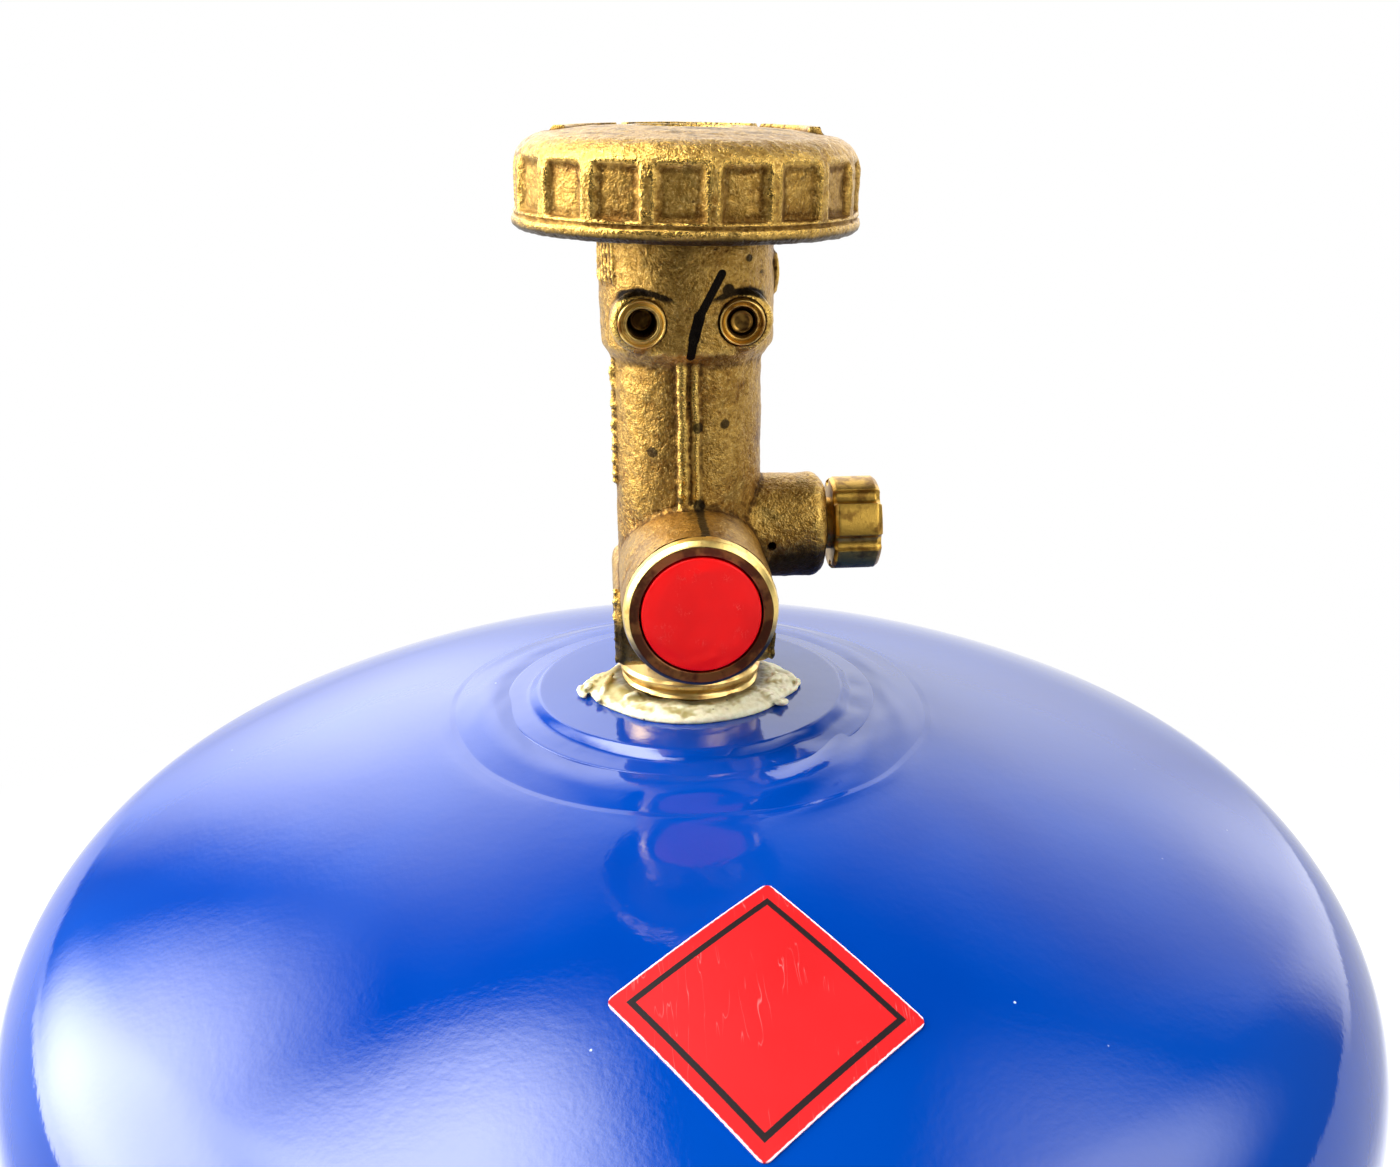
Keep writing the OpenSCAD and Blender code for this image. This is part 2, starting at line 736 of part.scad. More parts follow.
module seat_pad() color(black_rubber) at_valve() rod(pad_r, pad_z, pad_z + pad_t);

// ---- hand wheel ----

// Half section with a slightly domed top and a round shoulder
module wheel_blank_2d() {
    rim_top = rim_band_z + rim_band_h;
    difference() {
        union() {
            difference() {
                square([panel_r, wheel_top]);
                translate([0, wheel_top]) over_head_2d(panel_r, dome_r, shoulder_r, 0);
            }
            translate([wheel_r / 2, 0]) polygon([
                [0, rim_band_z], [wheel_r / 2 - 0.6, rim_band_z],
                [wheel_r / 2, rim_band_z + 0.6], [wheel_r / 2, rim_top - 0.6],
                [wheel_r / 2 - 0.5, rim_top], [0, rim_top]
            ]);
        }
        square([wheel_r, rim_band_z]);
    }
    translate([wheel_r - rim_wall, wheel_z]) square([rim_wall - 0.8, rim_band_h]);
}

module handwheel() color(brass) at_valve() difference() {
    union() {
        rotate_extrude() difference() {
            wheel_blank_2d();
            translate([hub_d / 2, 0])
                square([wheel_r - rim_wall - hub_d / 2, wheel_top - plate_t]);
            square([hub_d, hub_z]);
            translate([0, hub_top]) square([hub_recess_d / 2, wheel_h]);
        }
        wheel_ribs();
        raised_arcs();
    }
    square_rod(drive_side + fit_gap, hub_z - 1, hub_top + 1);
}

// Ribs on the skirt, sloping into the shoulder at their upper ends
module wheel_ribs() {
    base = rim_band_z + 1;
    slope_z = shoulder_z + 0.7;
    intersection() {
        rotate_extrude() polygon([
            [panel_r - 1, base], [rib_r, base], [rib_r, slope_z],
            [rib_r - rib_slope, slope_z + rib_slope]
        ]);
        union() for (i = [0:wheel_rib_pairs - 1])
            rotate([0, 0, i * 180 / wheel_rib_pairs + rib_turn])
                translate([-wheel_r, -wheel_rib_w / 2, wheel_z])
                    cube([wheel_d, wheel_rib_w, wheel_h]);
    }
}

// Plain raised arcs at the right, the back and the left of the wheel's top
module raised_arcs() {
    base = wheel_top - 3;
    for (arc = raised_arcs_at) translate([0, 0, base])
        linear_extrude(height = raised_arc_top - base) intersection() {
            difference() {
                circle(raised_arc_r + raised_arc_w / 2);
                circle(raised_arc_r - raised_arc_w / 2);
            }
            rotate(arc[0]) polygon([
                [0, 0], [wheel_d * cos(arc[1]), -wheel_d * sin(arc[1])],
                [wheel_d * cos(arc[1]), wheel_d * sin(arc[1])]
            ]);
        }
}

module wheel_washer() color(steel) at_valve()
    tube(wheel_washer_d / 2, stub_d / 2 + fit_gap, hub_top, hub_top + wheel_washer_t);

module wheel_nut() color(steel) at_valve() difference() {
    translate([0, 0, hub_top + wheel_washer_t])
        cylinder(d = nut_flats / cos(30), h = nut_t, $fn = 6);
    rod(stub_d / 2 + fit_gap / 2, hub_top, hub_top + 2 * nut_t);
}

// ---- fixed-level bleed ----

module dip_tube() color(steel) {
    end_z = low_tangent_z + fill_share * shell_len - valve_z;
    at_valve() translate([dip_x, 0, 0])
        tube(dip_tube_d / 2, dip_tube_bore_d / 2, end_z, dip_seat - tail_depth);
}

module knob_2d() {
    difference() {
        circle(d = bleed_knob_d);
        for (i = [0:bleed_grooves - 1]) rotate(i * 360 / bleed_grooves + knob_turn)
            translate([bleed_knob_d / 2 + 0.4, 0]) circle(d = bleed_groove_d);
    }
}

module bleed_screw() color(bright_brass) at_valve() to_right(bleed_z) difference() {
    knob_x = bleed_face + bleed_gap;
    union() {
        rod(bleed_seal_d / 2, bleed_tip_x, bleed_thread_x + 1);
        rod(bleed_thread_d / 2 - fit_gap, bleed_thread_x + 0.5, knob_x);
        rod(bleed_neck_d / 2, bleed_face + move_gap, knob_x);
        translate([0, 0, knob_x]) linear_extrude(height = bleed_knob_len) knob_2d();
    }
    rod(bleed_pin_d / 2 + fit_gap, bleed_tip_x - 1, bleed_tip_x + bleed_pin_len);
    translate([0, 0, knob_x + bleed_knob_len]) difference() {
        rod(bleed_knob_d, -knob_edge, 1);
        translate([0, 0, -knob_edge])
            cylinder(r1 = bleed_knob_d / 2, r2 = bleed_knob_d / 2 - knob_edge, h = knob_edge);
    }
}

module bleed_seal() color("#e8e4d8") at_valve() to_right(bleed_z) {
    rod(bleed_seal_d / 2, bleed_seal_x, bleed_seal_x + bleed_seal_t);
    rod(bleed_pin_d / 2, bleed_seal_x, bleed_tip_x + bleed_pin_len - move_gap);
}

// ---- relief valve ----

module relief_poppet() color(bright_brass) at_valve() to_back(relief_z) difference() {
    union() {
        rod(poppet_d / 2, poppet_y, poppet_y + poppet_t);
        rod(poppet_stem_d / 2, poppet_y, relief_plug_y + relief_plug_t);
    }
    rod(relief_seal_d / 2 + fit_gap / 2, poppet_y - 1, poppet_y + relief_seal_t);
}

module relief_seal() color(black_rubber) at_valve() to_back(relief_z)
    rod(relief_seal_d / 2, poppet_y, poppet_y + relief_seal_t);

module relief_plug() color(bright_brass) at_valve() to_back(relief_z) difference() {
    vents = 4;
    rod(relief_plug_d / 2, relief_plug_y, relief_plug_y + relief_plug_t);
    rod(poppet_stem_d / 2 + move_gap, relief_plug_y - 1, relief_face);
    for (i = [0:vents - 1]) rotate([0, 0, i * 360 / vents])
        translate([(relief_plug_d + poppet_stem_d) / 4, 0, 0])
            rod(1.3, relief_plug_y - 1, relief_face);
}

module relief_cap() color("#d8b21c") at_valve() to_back(relief_z) {
    lip = 1.4;
    tube(relief_plug_d / 2, relief_plug_d / 2 - 1.2, relief_face - relief_cap_skirt, relief_face);
    rod(relief_boss_d / 2 - 1.5, relief_face, relief_face + lip);
}

// One closed tube swept along the coil, whose end turns lie flat
function coil_share(t) = let (e = spring_end_turns / relief_turns)
    t < e ? 0 : t > 1 - e ? 1 : (t - e) / (1 - 2 * e);
function coil_point(t, bend) =
    let (a = 360 * relief_turns * t, r = relief_coil_d / 2 + relief_wire_d / 2 * cos(bend),
         pad = spring_end_turns * relief_wire_d,
         low = relief_wire_d / 2 + pad * min(1, t * relief_turns / spring_end_turns),
         high = spring_len - relief_wire_d / 2
             - pad * min(1, (1 - t) * relief_turns / spring_end_turns),
         rise = low + (high - low) * coil_share(t))
    [r * cos(a), r * sin(a), rise + relief_wire_d / 2 * sin(bend)];

module relief_spring() color(steel) at_valve() to_back(relief_z)
    translate([0, 0, spring_start]) {
        rings = relief_turns * spring_steps;
        n = spring_sides;
        points = [for (i = [0:rings], j = [0:n - 1]) coil_point(i / rings, 360 * j / n)];
        sides = [for (i = [0:rings - 1], j = [0:n - 1])
            [i * n + j, i * n + (j + 1) % n, (i + 1) * n + (j + 1) % n, (i + 1) * n + j]];
        start = [[for (j = [n - 1:-1:0]) j]];
        end = [[for (j = [0:n - 1]) rings * n + j]];
        polyhedron(points, concat(start, sides, end));
    }

// ---- outlet plug ----

module outlet_plug() color("#e01010") at_valve() to_front(outlet_z) {
    face = outlet_face + plug_proud;
    back = face - plug_t;
    edge = 0.5;
    rod(plug_d / 2, back, face - edge);
    translate([0, 0, face - edge]) cylinder(r1 = plug_d / 2, r2 = plug_d / 2 - edge, h = edge);
    tube(plug_d / 2 - 0.2, plug_d / 2 - plug_skirt_wall, back - plug_skirt_len, back);
    tube(mouth_d / 2 - fit_gap, plug_d / 2 - 1, back - plug_skirt_len / 2 - plug_bead_t / 2,
         back - plug_skirt_len / 2 + plug_bead_t / 2);
}

upper_shell();
lower_shell();
girth_weld();
neck_boss();
neck_weld();
foot_ring();
foot_ring_weld();
diamond_sticker();
thread_sealant();
valve_body();
bonnet();
bonnet_seal();
locking_pins();
thrust_washer();
dip_tube();
relief_plug();
relief_cap();
spindle();
spindle_o_rings();
handwheel();
wheel_washer();
wheel_nut();
valve_stem();
seat_pad();
bleed_screw();
bleed_seal();
relief_poppet();
relief_seal();
relief_spring();
outlet_plug();
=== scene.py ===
"""Looks for a gas cylinder with a hand-wheel valve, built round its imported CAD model.

Shapes are written in millimetres, in one of two places: from the floor for the tank, or from the
top of the neck boss for the valve, whose outlet points to -Y and whose bleed screw to +X.
"""

import json
import math
import random

import bmesh
import bpy
import numpy as np
from mathutils import Matrix, Vector, noise

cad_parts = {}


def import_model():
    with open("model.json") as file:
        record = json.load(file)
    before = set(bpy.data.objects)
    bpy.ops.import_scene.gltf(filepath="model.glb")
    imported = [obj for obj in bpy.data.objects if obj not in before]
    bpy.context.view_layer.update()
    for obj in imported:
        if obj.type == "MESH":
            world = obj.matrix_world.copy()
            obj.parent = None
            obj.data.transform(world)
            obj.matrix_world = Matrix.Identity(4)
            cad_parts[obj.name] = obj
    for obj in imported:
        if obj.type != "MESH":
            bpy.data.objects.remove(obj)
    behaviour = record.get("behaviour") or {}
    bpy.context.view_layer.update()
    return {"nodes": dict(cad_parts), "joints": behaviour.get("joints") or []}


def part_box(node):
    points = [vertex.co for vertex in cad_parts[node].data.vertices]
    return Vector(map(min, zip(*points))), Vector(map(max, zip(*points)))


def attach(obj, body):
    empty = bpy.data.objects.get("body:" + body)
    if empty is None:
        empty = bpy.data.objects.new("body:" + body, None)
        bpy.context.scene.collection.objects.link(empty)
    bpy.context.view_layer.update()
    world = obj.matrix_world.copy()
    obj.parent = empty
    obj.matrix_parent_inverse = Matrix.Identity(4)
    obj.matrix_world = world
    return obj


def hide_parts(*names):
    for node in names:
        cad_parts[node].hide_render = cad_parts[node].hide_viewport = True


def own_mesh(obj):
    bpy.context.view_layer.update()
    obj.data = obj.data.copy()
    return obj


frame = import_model()

MM = Matrix.Scale(0.001, 4)
VALVE_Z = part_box("neck_boss")[1].z
APEX_Z = VALVE_Z + 0.0005
ON_VALVE = Matrix.Translation((0, 0, VALVE_Z)) @ MM
ON_APEX = Matrix.Translation((0, 0, APEX_Z)) @ MM


def axis_height(node):
    """Height of a level round piece's axis above the neck boss, in millimetres."""
    low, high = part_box(node)
    return ((low.z + high.z) / 2 - VALVE_Z) * 1000


OUTLET_Z = axis_height("outlet_plug")
BLEED_Z = axis_height("bleed_screw")
RELIEF_Z = axis_height("relief_cap")


def turned(x, y, z, height):
    """Matrix that lays a shape's own axes along three directions, at a height on the valve."""
    m = Matrix((x, y, z)).transposed().to_4x4()
    return Matrix.Translation((0, 0, height)) @ m


FRONT_AXES = (1, 0, 0), (0, 0, 1), (0, -1, 0)
TO_FRONT = turned(*FRONT_AXES, OUTLET_Z)
TO_RIGHT = turned((0, -1, 0), (0, 0, -1), (1, 0, 0), BLEED_Z)
TO_BACK = turned((-1, 0, 0), (0, 0, 1), (0, 1, 0), RELIEF_Z)
PIN_X, PIN_Z = 9.6, 81.5


def to_pin(x):
    """Matrix that lays a piece along one of the forward-facing bores for the locking pins."""
    return turned(*FRONT_AXES, PIN_Z) @ Matrix.Translation((x, 0, 0))


# The same places for shaders, which measure in millimetres from the floor.
ON_VALVE_MM = Matrix.Translation((0, 0, VALVE_Z * 1000))
ON_PLUG = ON_VALVE_MM @ TO_FRONT
ON_KNOB = ON_VALVE_MM @ TO_RIGHT


# ---------------------------------------------------------------- mesh helpers


def waves(seed, lowest, highest):
    """A periodic function of the angle that stays about between -1 and 1."""
    rng = random.Random(seed)
    terms = [(k, rng.uniform(0, math.tau), rng.uniform(0.6, 1)) for k in range(lowest, highest)]
    size = sum(a for _, _, a in terms) * 0.55
    return lambda t: sum(a * np.sin(k * t + p) for k, p, a in terms) / size


def ramp(value, start, length):
    """0 up to the start and 1 from a length further on. A negative length goes downwards."""
    return np.clip((value - start) / length, 0, 1)


def eased(share):
    return share * share * (3 - 2 * share)


def facing(a, degrees):
    """A soft share of the angles round one direction."""
    return np.clip(np.cos(a - math.radians(degrees)), 0, 1) ** 2


def apart(a, b):
    """How far two angles lie apart, round the circle."""
    return np.abs((a - b + math.pi) % math.tau - math.pi)


def rounded(corners, step=0.25, straight=None, closed=True):
    """Half section from corners (radius, height) or (radius, height, rounding)."""
    count = len(corners)
    path = []
    for i, corner in enumerate(corners):
        here = Vector(corner[:2])
        ends = not closed and i in (0, count - 1)
        if len(corner) < 3 or ends:
            path.append(here)
            continue
        before = Vector(corners[i - 1][:2]) - here
        after = Vector(corners[(i + 1) % count][:2]) - here
        a, b = before.normalized(), after.normalized()
        half = a.angle(b) / 2
        reach = min(corner[2] / math.tan(half), 0.49 * before.length, 0.49 * after.length)
        radius = reach * math.tan(half)
        centre = here + (a + b).normalized() * radius / math.sin(half)
        start, end = here + a * reach - centre, here + b * reach - centre
        turn = start.angle_signed(end)
        pieces = max(2, math.ceil(abs(turn) * radius / step))
        for k in range(pieces + 1):
            path.append(centre + Matrix.Rotation(-turn * k / pieces, 2) @ start)
    if straight is None:
        return [tuple(p) for p in path]
    fine = []
    for i, here in enumerate(path):
        fine.append(tuple(here))
        if closed or i < len(path) - 1:
            to = path[(i + 1) % len(path)] - here
            extra = int(to.length / straight)
            fine += [tuple(here + to * (k + 1) / (extra + 1)) for k in range(extra)]
    return fine


def mesh_from(verts, faces, matrix=None):
    mesh = bpy.data.meshes.new("shape")
    mesh.from_pydata(verts, [], faces)
    if matrix is not None:
        mesh.transform(matrix)
    return mesh


def revolve(profile, count, matrix=None, shape=None, closed=True):
    """A closed mesh turned round Z. shape(r, angle, z) may bend the turned surface."""
    section = np.array(profile, float)
    if closed:
        x, y = section[:, 0], section[:, 1]
        area = np.sum(x * np.roll(y, -1) - np.roll(x, -1) * y)
        if area < 0:
            section = section[::-1]
    rows = len(section)
    angle = np.arange(count) * math.tau / count
    r = np.repeat(section[:, :1], count, 1)
    z = np.repeat(section[:, 1:2], count, 1)
    a = np.repeat(angle[None, :], rows, 0)
    if shape:
        r, z = shape(r, a, z)
    points = np.stack((r * np.cos(a), r * np.sin(a), z), -1).reshape(-1, 3)
    index = np.arange(rows * count).reshape(rows, count)
    for row in range(rows):
        if section[row, 0] < 1e-9:
            index[row] = index[row, 0]
    faces = []
    for row in range(rows if closed else rows - 1):
        low, high = index[row], index[(row + 1) % rows]
        quads = np.stack((low, np.roll(low, -1), np.roll(high, -1), high), -1)
        if low[0] == low[1] and high[0] == high[1]:
            continue
        for quad in quads.tolist():
            faces.append(tuple(dict.fromkeys(quad)))
    used = np.unique([i for face in faces for i in face])
    order = np.full(rows * count, -1)
    order[used] = np.arange(len(used))
    faces = [tuple(order[list(face)].tolist()) for face in faces]
    return mesh_from(points[used].tolist(), faces, matrix)


def solid(corners, count, matrix=None, shape=None, **rounding):
    """A solid turned from corners that run from the axis out and back to the axis."""
    return revolve(rounded(corners, closed=False, **rounding), count, matrix, shape, closed=False)


def cylinder(r, z0, z1, matrix=None, count=96):
    return solid([(0, z0), (r, z0), (r, z1), (0, z1)], count, matrix)


def box_mesh(low, high, edge=0.0):
    """A box between two corners, with rounded edges."""
    bm = bmesh.new()
    bmesh.ops.create_cube(bm, size=1)
    low, high = Vector(low), Vector(high)
    for v in bm.verts:
        v.co = Vector((l + (h - l) * (c + 0.5) for l, h, c in zip(low, high, v.co)))
    if edge:
        edges = bm.edges[:]
        bmesh.ops.bevel(bm, geom=edges, offset=edge, segments=4, affect="EDGES", profile=0.5)
    mesh = bpy.data.meshes.new("shape")
    bm.to_mesh(mesh)
    bm.free()
    return mesh


def ball(centre, radius, stretch=(1, 1, 1), turn=0.0):
    """A stretched ball, turned about its upright axis."""
    bm = bmesh.new()
    bmesh.ops.create_icosphere(bm, subdivisions=2, radius=radius)
    mesh = bpy.data.meshes.new("shape")
    bm.to_mesh(mesh)
    bm.free()
    spin, scale = Matrix.Rotation(turn, 4, "Z"), Matrix.Diagonal((*stretch, 1))
    mesh.transform(Matrix.Translation(centre) @ spin @ scale)
    return mesh


def linked(name, data):
    """A new object in the scene."""
    obj = bpy.data.objects.new(name, data)
    bpy.context.scene.collection.objects.link(obj)
    return obj


def joined(name, meshes):
    """One object of several meshes."""
    bm = bmesh.new()
    for mesh in meshes:
        bm.from_mesh(mesh)
        bpy.data.meshes.remove(mesh)
    mesh = bpy.data.meshes.new(name)
    bm.to_mesh(mesh)
    bm.free()
    return linked(name, mesh)


def modified(obj, kind, **settings):
    """Applies one modifier to the object's mesh."""
    modifier = obj.modifiers.new(kind, kind)
    for key, value in settings.items():
        setattr(modifier, key, value)
    graph = bpy.context.evaluated_depsgraph_get()
    mesh = bpy.data.meshes.new_from_object(obj.evaluated_get(graph))
    obj.modifiers.clear()
    old, obj.data = obj.data, mesh
    bpy.data.meshes.remove(old)


def cut(obj, *meshes):
    """Takes closed meshes away from an object, one after the other."""
    for mesh in meshes:
        tool = joined("tool", [mesh])
        modified(obj, "BOOLEAN", object=tool, operation="DIFFERENCE", solver="MANIFOLD")
        bpy.data.objects.remove(tool)


def largest_shell(obj):
    """Keeps only the largest connected shell of a mesh."""
    bm = bmesh.new()
    bm.from_mesh(obj.data)
    left = set(bm.verts)
    shells = []
    while left:
        grown, edge = set(), [next(iter(left))]
        left.discard(edge[0])
        while edge:
            vert = edge.pop()
            grown.add(vert)
            for link in vert.link_edges:
                other = link.other_vert(vert)
                if other in left:
                    left.discard(other)
                    edge.append(other)
        shells.append(grown)
    shells.sort(key=len)
    bmesh.ops.delete(bm, geom=[v for shell in shells[:-1] for v in shell], context="VERTS")
    bm.to_mesh(obj.data)
    bm.free()


def of_points(obj, name):
    """One vector per vertex, such as its place or its normal, in rows."""
    values = np.empty(len(obj.data.vertices) * 3, np.float32)
    obj.data.vertices.foreach_get(name, values)
    return values.reshape(-1, 3).astype(float)


def move_points(obj, co):
    obj.data.vertices.foreach_set("co", co.astype(np.float32).ravel())
    obj.data.update()


def roughened(obj, grains, keep):
    """Moves the surface along its normals by noise: grains are (size, height) pairs."""
    co, normal = of_points(obj, "co"), of_points(obj, "normal")
    shift = np.zeros(len(co))
    for size, height in grains:
        shift += height * np.array([noise.noise(Vector(p) / size) for p in co])
    shift *= keep(co)
    move_points(obj, co + normal * shift[:, None])


def paint_points(obj, name, values):
    attribute = obj.data.attributes.new(name, "FLOAT", "POINT")
    attribute.data.foreach_set("value", np.asarray(values, np.float32))


def edge_wear_and_hollow_shade(obj, rounds=8):
    """Writes the attribute "edge": above 0.5 on outer edges, below 0.5 in hollows."""
    co, normal = of_points(obj, "co"), of_points(obj, "normal")
    ends = np.empty(len(obj.data.edges) * 2, np.int32)
    obj.data.edges.foreach_get("vertices", ends)
    a, b = ends.reshape(-1, 2).T
    count = np.bincount(a, minlength=len(co)) + np.bincount(b, minlength=len(co))
    count = np.maximum(count, 1)
    smooth = co.copy()
    for _ in range(rounds):
        total = np.zeros_like(smooth)
        np.add.at(total, a, smooth[b])
        np.add.at(total, b, smooth[a])
        smooth = total / count[:, None]
    out = np.sum((co - smooth) * normal, 1)
    paint_points(obj, "edge", np.clip(0.5 + out * 2.5, 0, 1))


def finish_piece(obj, body, nodes, matrix, materials, sharp=None):
    """Puts a piece in place, smooths its shading and ties it to the CAD model."""
    obj.data.transform(matrix)
    obj.data.polygons.foreach_set("use_smooth", [True] * len(obj.data.polygons))
    if sharp is not None:
        obj.data.set_sharp_from_angle(angle=math.radians(sharp))
    index = np.empty(len(obj.data.polygons), np.int32)
    obj.data.polygons.foreach_get("material_index", index)
    obj.data.materials.clear()
    for material in materials:
        obj.data.materials.append(material)
    obj.data.polygons.foreach_set("material_index", index)
    obj.data.update()
    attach(obj, body)
    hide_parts(*nodes)


# ---------------------------------------------------------------- material helpers


class Value:
    """A number in a shader. Arithmetic on it adds Math nodes."""

    def __init__(self, tree, socket):
        self.tree, self.socket = tree, socket

    def math(self, operation, *others):
        inputs = dict(enumerate((self, *others)))
        made = self.tree.node("ShaderNodeMath", inputs, operation=operation)
        return Value(self.tree, made.outputs[0])

    def __add__(self, other):
        return self.math("ADD", other)

    def __sub__(self, other):
        return self.math("SUBTRACT", other)

    def __mul__(self, other):
        return self.math("MULTIPLY", other)

    def __pow__(self, other):
        return self.math("POWER", other)

    __radd__ = __add__

    def __rsub__(self, other):
        return (self * -1).math("ADD", other)

    def least(self, other):
        return self.math("MINIMUM", other)

    def most(self, other):
        return self.math("MAXIMUM", other)

    def size(self):
        return self.math("ABSOLUTE")

    def between(self, low, high, to=(0.0, 1.0)):
        """A smooth step from to[0] at low to to[1] at high."""
        inputs = {"Value": self, "From Min": low, "From Max": high}
        inputs["To Min"], inputs["To Max"] = to
        made = self.tree.node("ShaderNodeMapRange", inputs, interpolation_type="SMOOTHSTEP")
        return Value(self.tree, made.outputs["Result"])


class Tree:
    """A node tree, written as arithmetic on values."""

    def __init__(self, node_tree):
        self.node_tree = node_tree

    def node(self, kind, inputs=None, **settings):
        """Adds a node with some of its settings, and of its inputs by name or number."""
        made = self.node_tree.nodes.new(kind)
        for key, value in settings.items():
            setattr(made, key, value)
        for key, value in (inputs or {}).items():
            self.set(made.inputs[key], value)
        return made

    def set(self, socket, value):
        if isinstance(value, Value):
            value = value.socket
        if isinstance(value, bpy.types.NodeSocket):
            self.node_tree.links.new(value, socket)
        elif isinstance(value, (int, float)):
            socket.default_value = float(value)
        else:
            opaque = socket.type == "RGBA" and len(value) == 3
            socket.default_value = (*value, 1.0) if opaque else value

    def vector(self, operation, *inputs):
        """The outputs of one step of vector arithmetic."""
        inputs = dict(enumerate(inputs))
        return self.node("ShaderNodeVectorMath", inputs, operation=operation).outputs

    def split(self, vector):
        made = self.node("ShaderNodeSeparateXYZ", {0: vector})
        return [Value(self, out) for out in made.outputs]

    def toward(self, vector, direction, limits, to):
        """A smooth step over how far a vector, laid level, points in a level direction."""
        level = self.vector("MULTIPLY", vector, (1, 1, 0))[0]
        way = self.vector("NORMALIZE", level)[0]
        share = self.vector("DOT_PRODUCT", way, direction)["Value"]
        return Value(self, share).between(*limits, to=to)

    def rays(self):
        """Whether a ray comes from the camera, and whether from a mirror or through glass."""
        path = self.node("ShaderNodeLightPath").outputs
        camera, glossy, through = (
            Value(self, path[f"Is {kind} Ray"]) for kind in ("Camera", "Glossy", "Transmission")
        )
        return camera, glossy.most(through)

    def emission(self, strength):
        return self.node("ShaderNodeEmission", {"Strength": strength}).outputs[0]

    def background(self, color, strength):
        return self.node("ShaderNodeBackground", {"Color": color, "Strength": strength}).outputs[0]

    def blend(self, share, first, second):
        """Mixes two shaders: the first at a share of 0, the second at 1."""
        return self.node("ShaderNodeMixShader", {0: share, 1: first, 2: second}).outputs[0]


class Graph(Tree):
    """A new material's tree, with the place in millimetres."""

    def __init__(self, name):
        self.material = bpy.data.materials.new(name)
        self.material.use_nodes = True
        super().__init__(self.material.node_tree)
        self.node_tree.nodes.clear()
        inputs = {0: self.node("ShaderNodeTexCoord").outputs["Object"], "Scale": 1000}
        self.place = self.node("ShaderNodeVectorMath", inputs, operation="SCALE").outputs[0]

    def axes(self, matrix):
        """The surface's place as three values, in a piece's own axes."""
        back = matrix.inverted()
        inputs = {
            "Vector": self.place, "Location": back.to_translation(), "Rotation": back.to_euler(),
        }
        return self.split(self.node("ShaderNodeMapping", inputs).outputs[0])

    def scaled(self, size, seed, stretch):
        """The place measured in grains, from a start of its own for each seed."""
        inputs = {
            "Vector": self.place, "Location": [seed * step for step in (3.7, 5.1, 7.3)],
            "Scale": [s / size for s in stretch],
        }
        return self.node("ShaderNodeMapping", inputs).outputs[0]

    def noise(self, size, detail=2.0, rough=0.5, seed=0, stretch=(1, 1, 1), warp=0.0):
        made = self.node("ShaderNodeTexNoise", {
            "Vector": self.scaled(size, seed, stretch), "Scale": 1, "Detail": detail,
            "Roughness": rough, "Distortion": warp,
        })
        return Value(self, made.outputs[0])

    def spots(self, size, seed):
        """Distance from the nearest of scattered points, and a random number per point."""
        place = self.scaled(size, seed, (1, 1, 1))
        made = self.node("ShaderNodeTexVoronoi", {"Vector": place, "Scale": 1})
        parts = self.node("ShaderNodeSeparateColor", {0: made.outputs["Color"]})
        return Value(self, made.outputs["Distance"]), Value(self, parts.outputs[0])

    def attribute(self, name):
        made = self.node("ShaderNodeAttribute", attribute_name=name)
        return Value(self, made.outputs["Fac"])

    def mix(self, share, first, second):
        inputs = {0: share, 6: first, 7: second}
        return self.node("ShaderNodeMix", inputs, data_type="RGBA").outputs[2]

    def bump(self, height, depth, normal=None):
        """Bump of a 0 to 1 height that stands depth millimetres tall."""
        inputs = {"Strength": 1, "Distance": depth / 1000, "Height": height}
        if normal is not None:
            inputs["Normal"] = normal
        return self.node("ShaderNodeBump", inputs).outputs[0]

    def surface(self, color, roughness, normal, **constants):
        shader = self.node("ShaderNodeBsdfPrincipled", {
            "Base Color": color, "Roughness": roughness, "Normal": normal,
            **{name.replace("_", " "): value for name, value in constants.items()},
        })
        self.node("ShaderNodeOutputMaterial", {"Surface": shader.outputs[0]})
        return self.material


def srgb(red, green, blue):
    """A colour as it is seen, from 0 to 255, turned into a linear one."""
    return tuple(
        v / 12.92 if v <= 0.04045 else ((v + 0.055) / 1.055) ** 2.4
        for v in (red / 255, green / 255, blue / 255)
    )


# ---------------------------------------------------------------- materials


def blue_paint():
    g = Graph("blue_paint")
    tone = g.noise(60, 2, seed=1)
    color = g.mix(tone.between(0.35, 0.65), srgb(0, 48, 131), srgb(0, 55, 140))
    away, pick = g.spots(7, seed=3)
    dust = (0.045 - away).between(0, 0.03) * pick.between(0.80, 0.82)
    color = g.mix(dust * 0.8, color, srgb(190, 205, 235))
    away, pick = g.spots(19, seed=8)
    ragged = 0.035 + g.noise(0.6, 1, seed=5) * 0.02 - away
    chip = ragged.between(0, 0.008) * pick.between(0.72, 0.74)
    color = g.mix(chip, color, srgb(28, 30, 44))
    scratch = g.noise(3, 1, seed=11, stretch=(0.12, 1, 1), warp=0.6)
    line = (scratch - 0.5).size().between(0.0, 0.006, to=(1, 0))
    patch = g.noise(22, 1, seed=12).between(0.60, 0.72)
    haze = g.noise(34, 3, seed=14).between(0.42, 0.7)
    rough = 0.34 + haze * 0.08 + line * patch * 0.3 + dust * 0.4
    peel = g.noise(1.1, 2, 0.55, seed=2) * 0.5 + g.noise(3.2, 1, seed=4) * 0.5
    normal = g.bump(g.noise(24, 1, seed=6), 0.12)
    normal = g.bump(peel, 0.035, normal)
    normal = g.bump(dust, 0.05, normal)
    return g.surface(
        color, rough, normal, Specular_IOR_Level=0.0, Coat_Weight=1.0, Coat_Roughness=0.05,
        Coat_IOR=1.5, Coat_Normal=normal,
    )


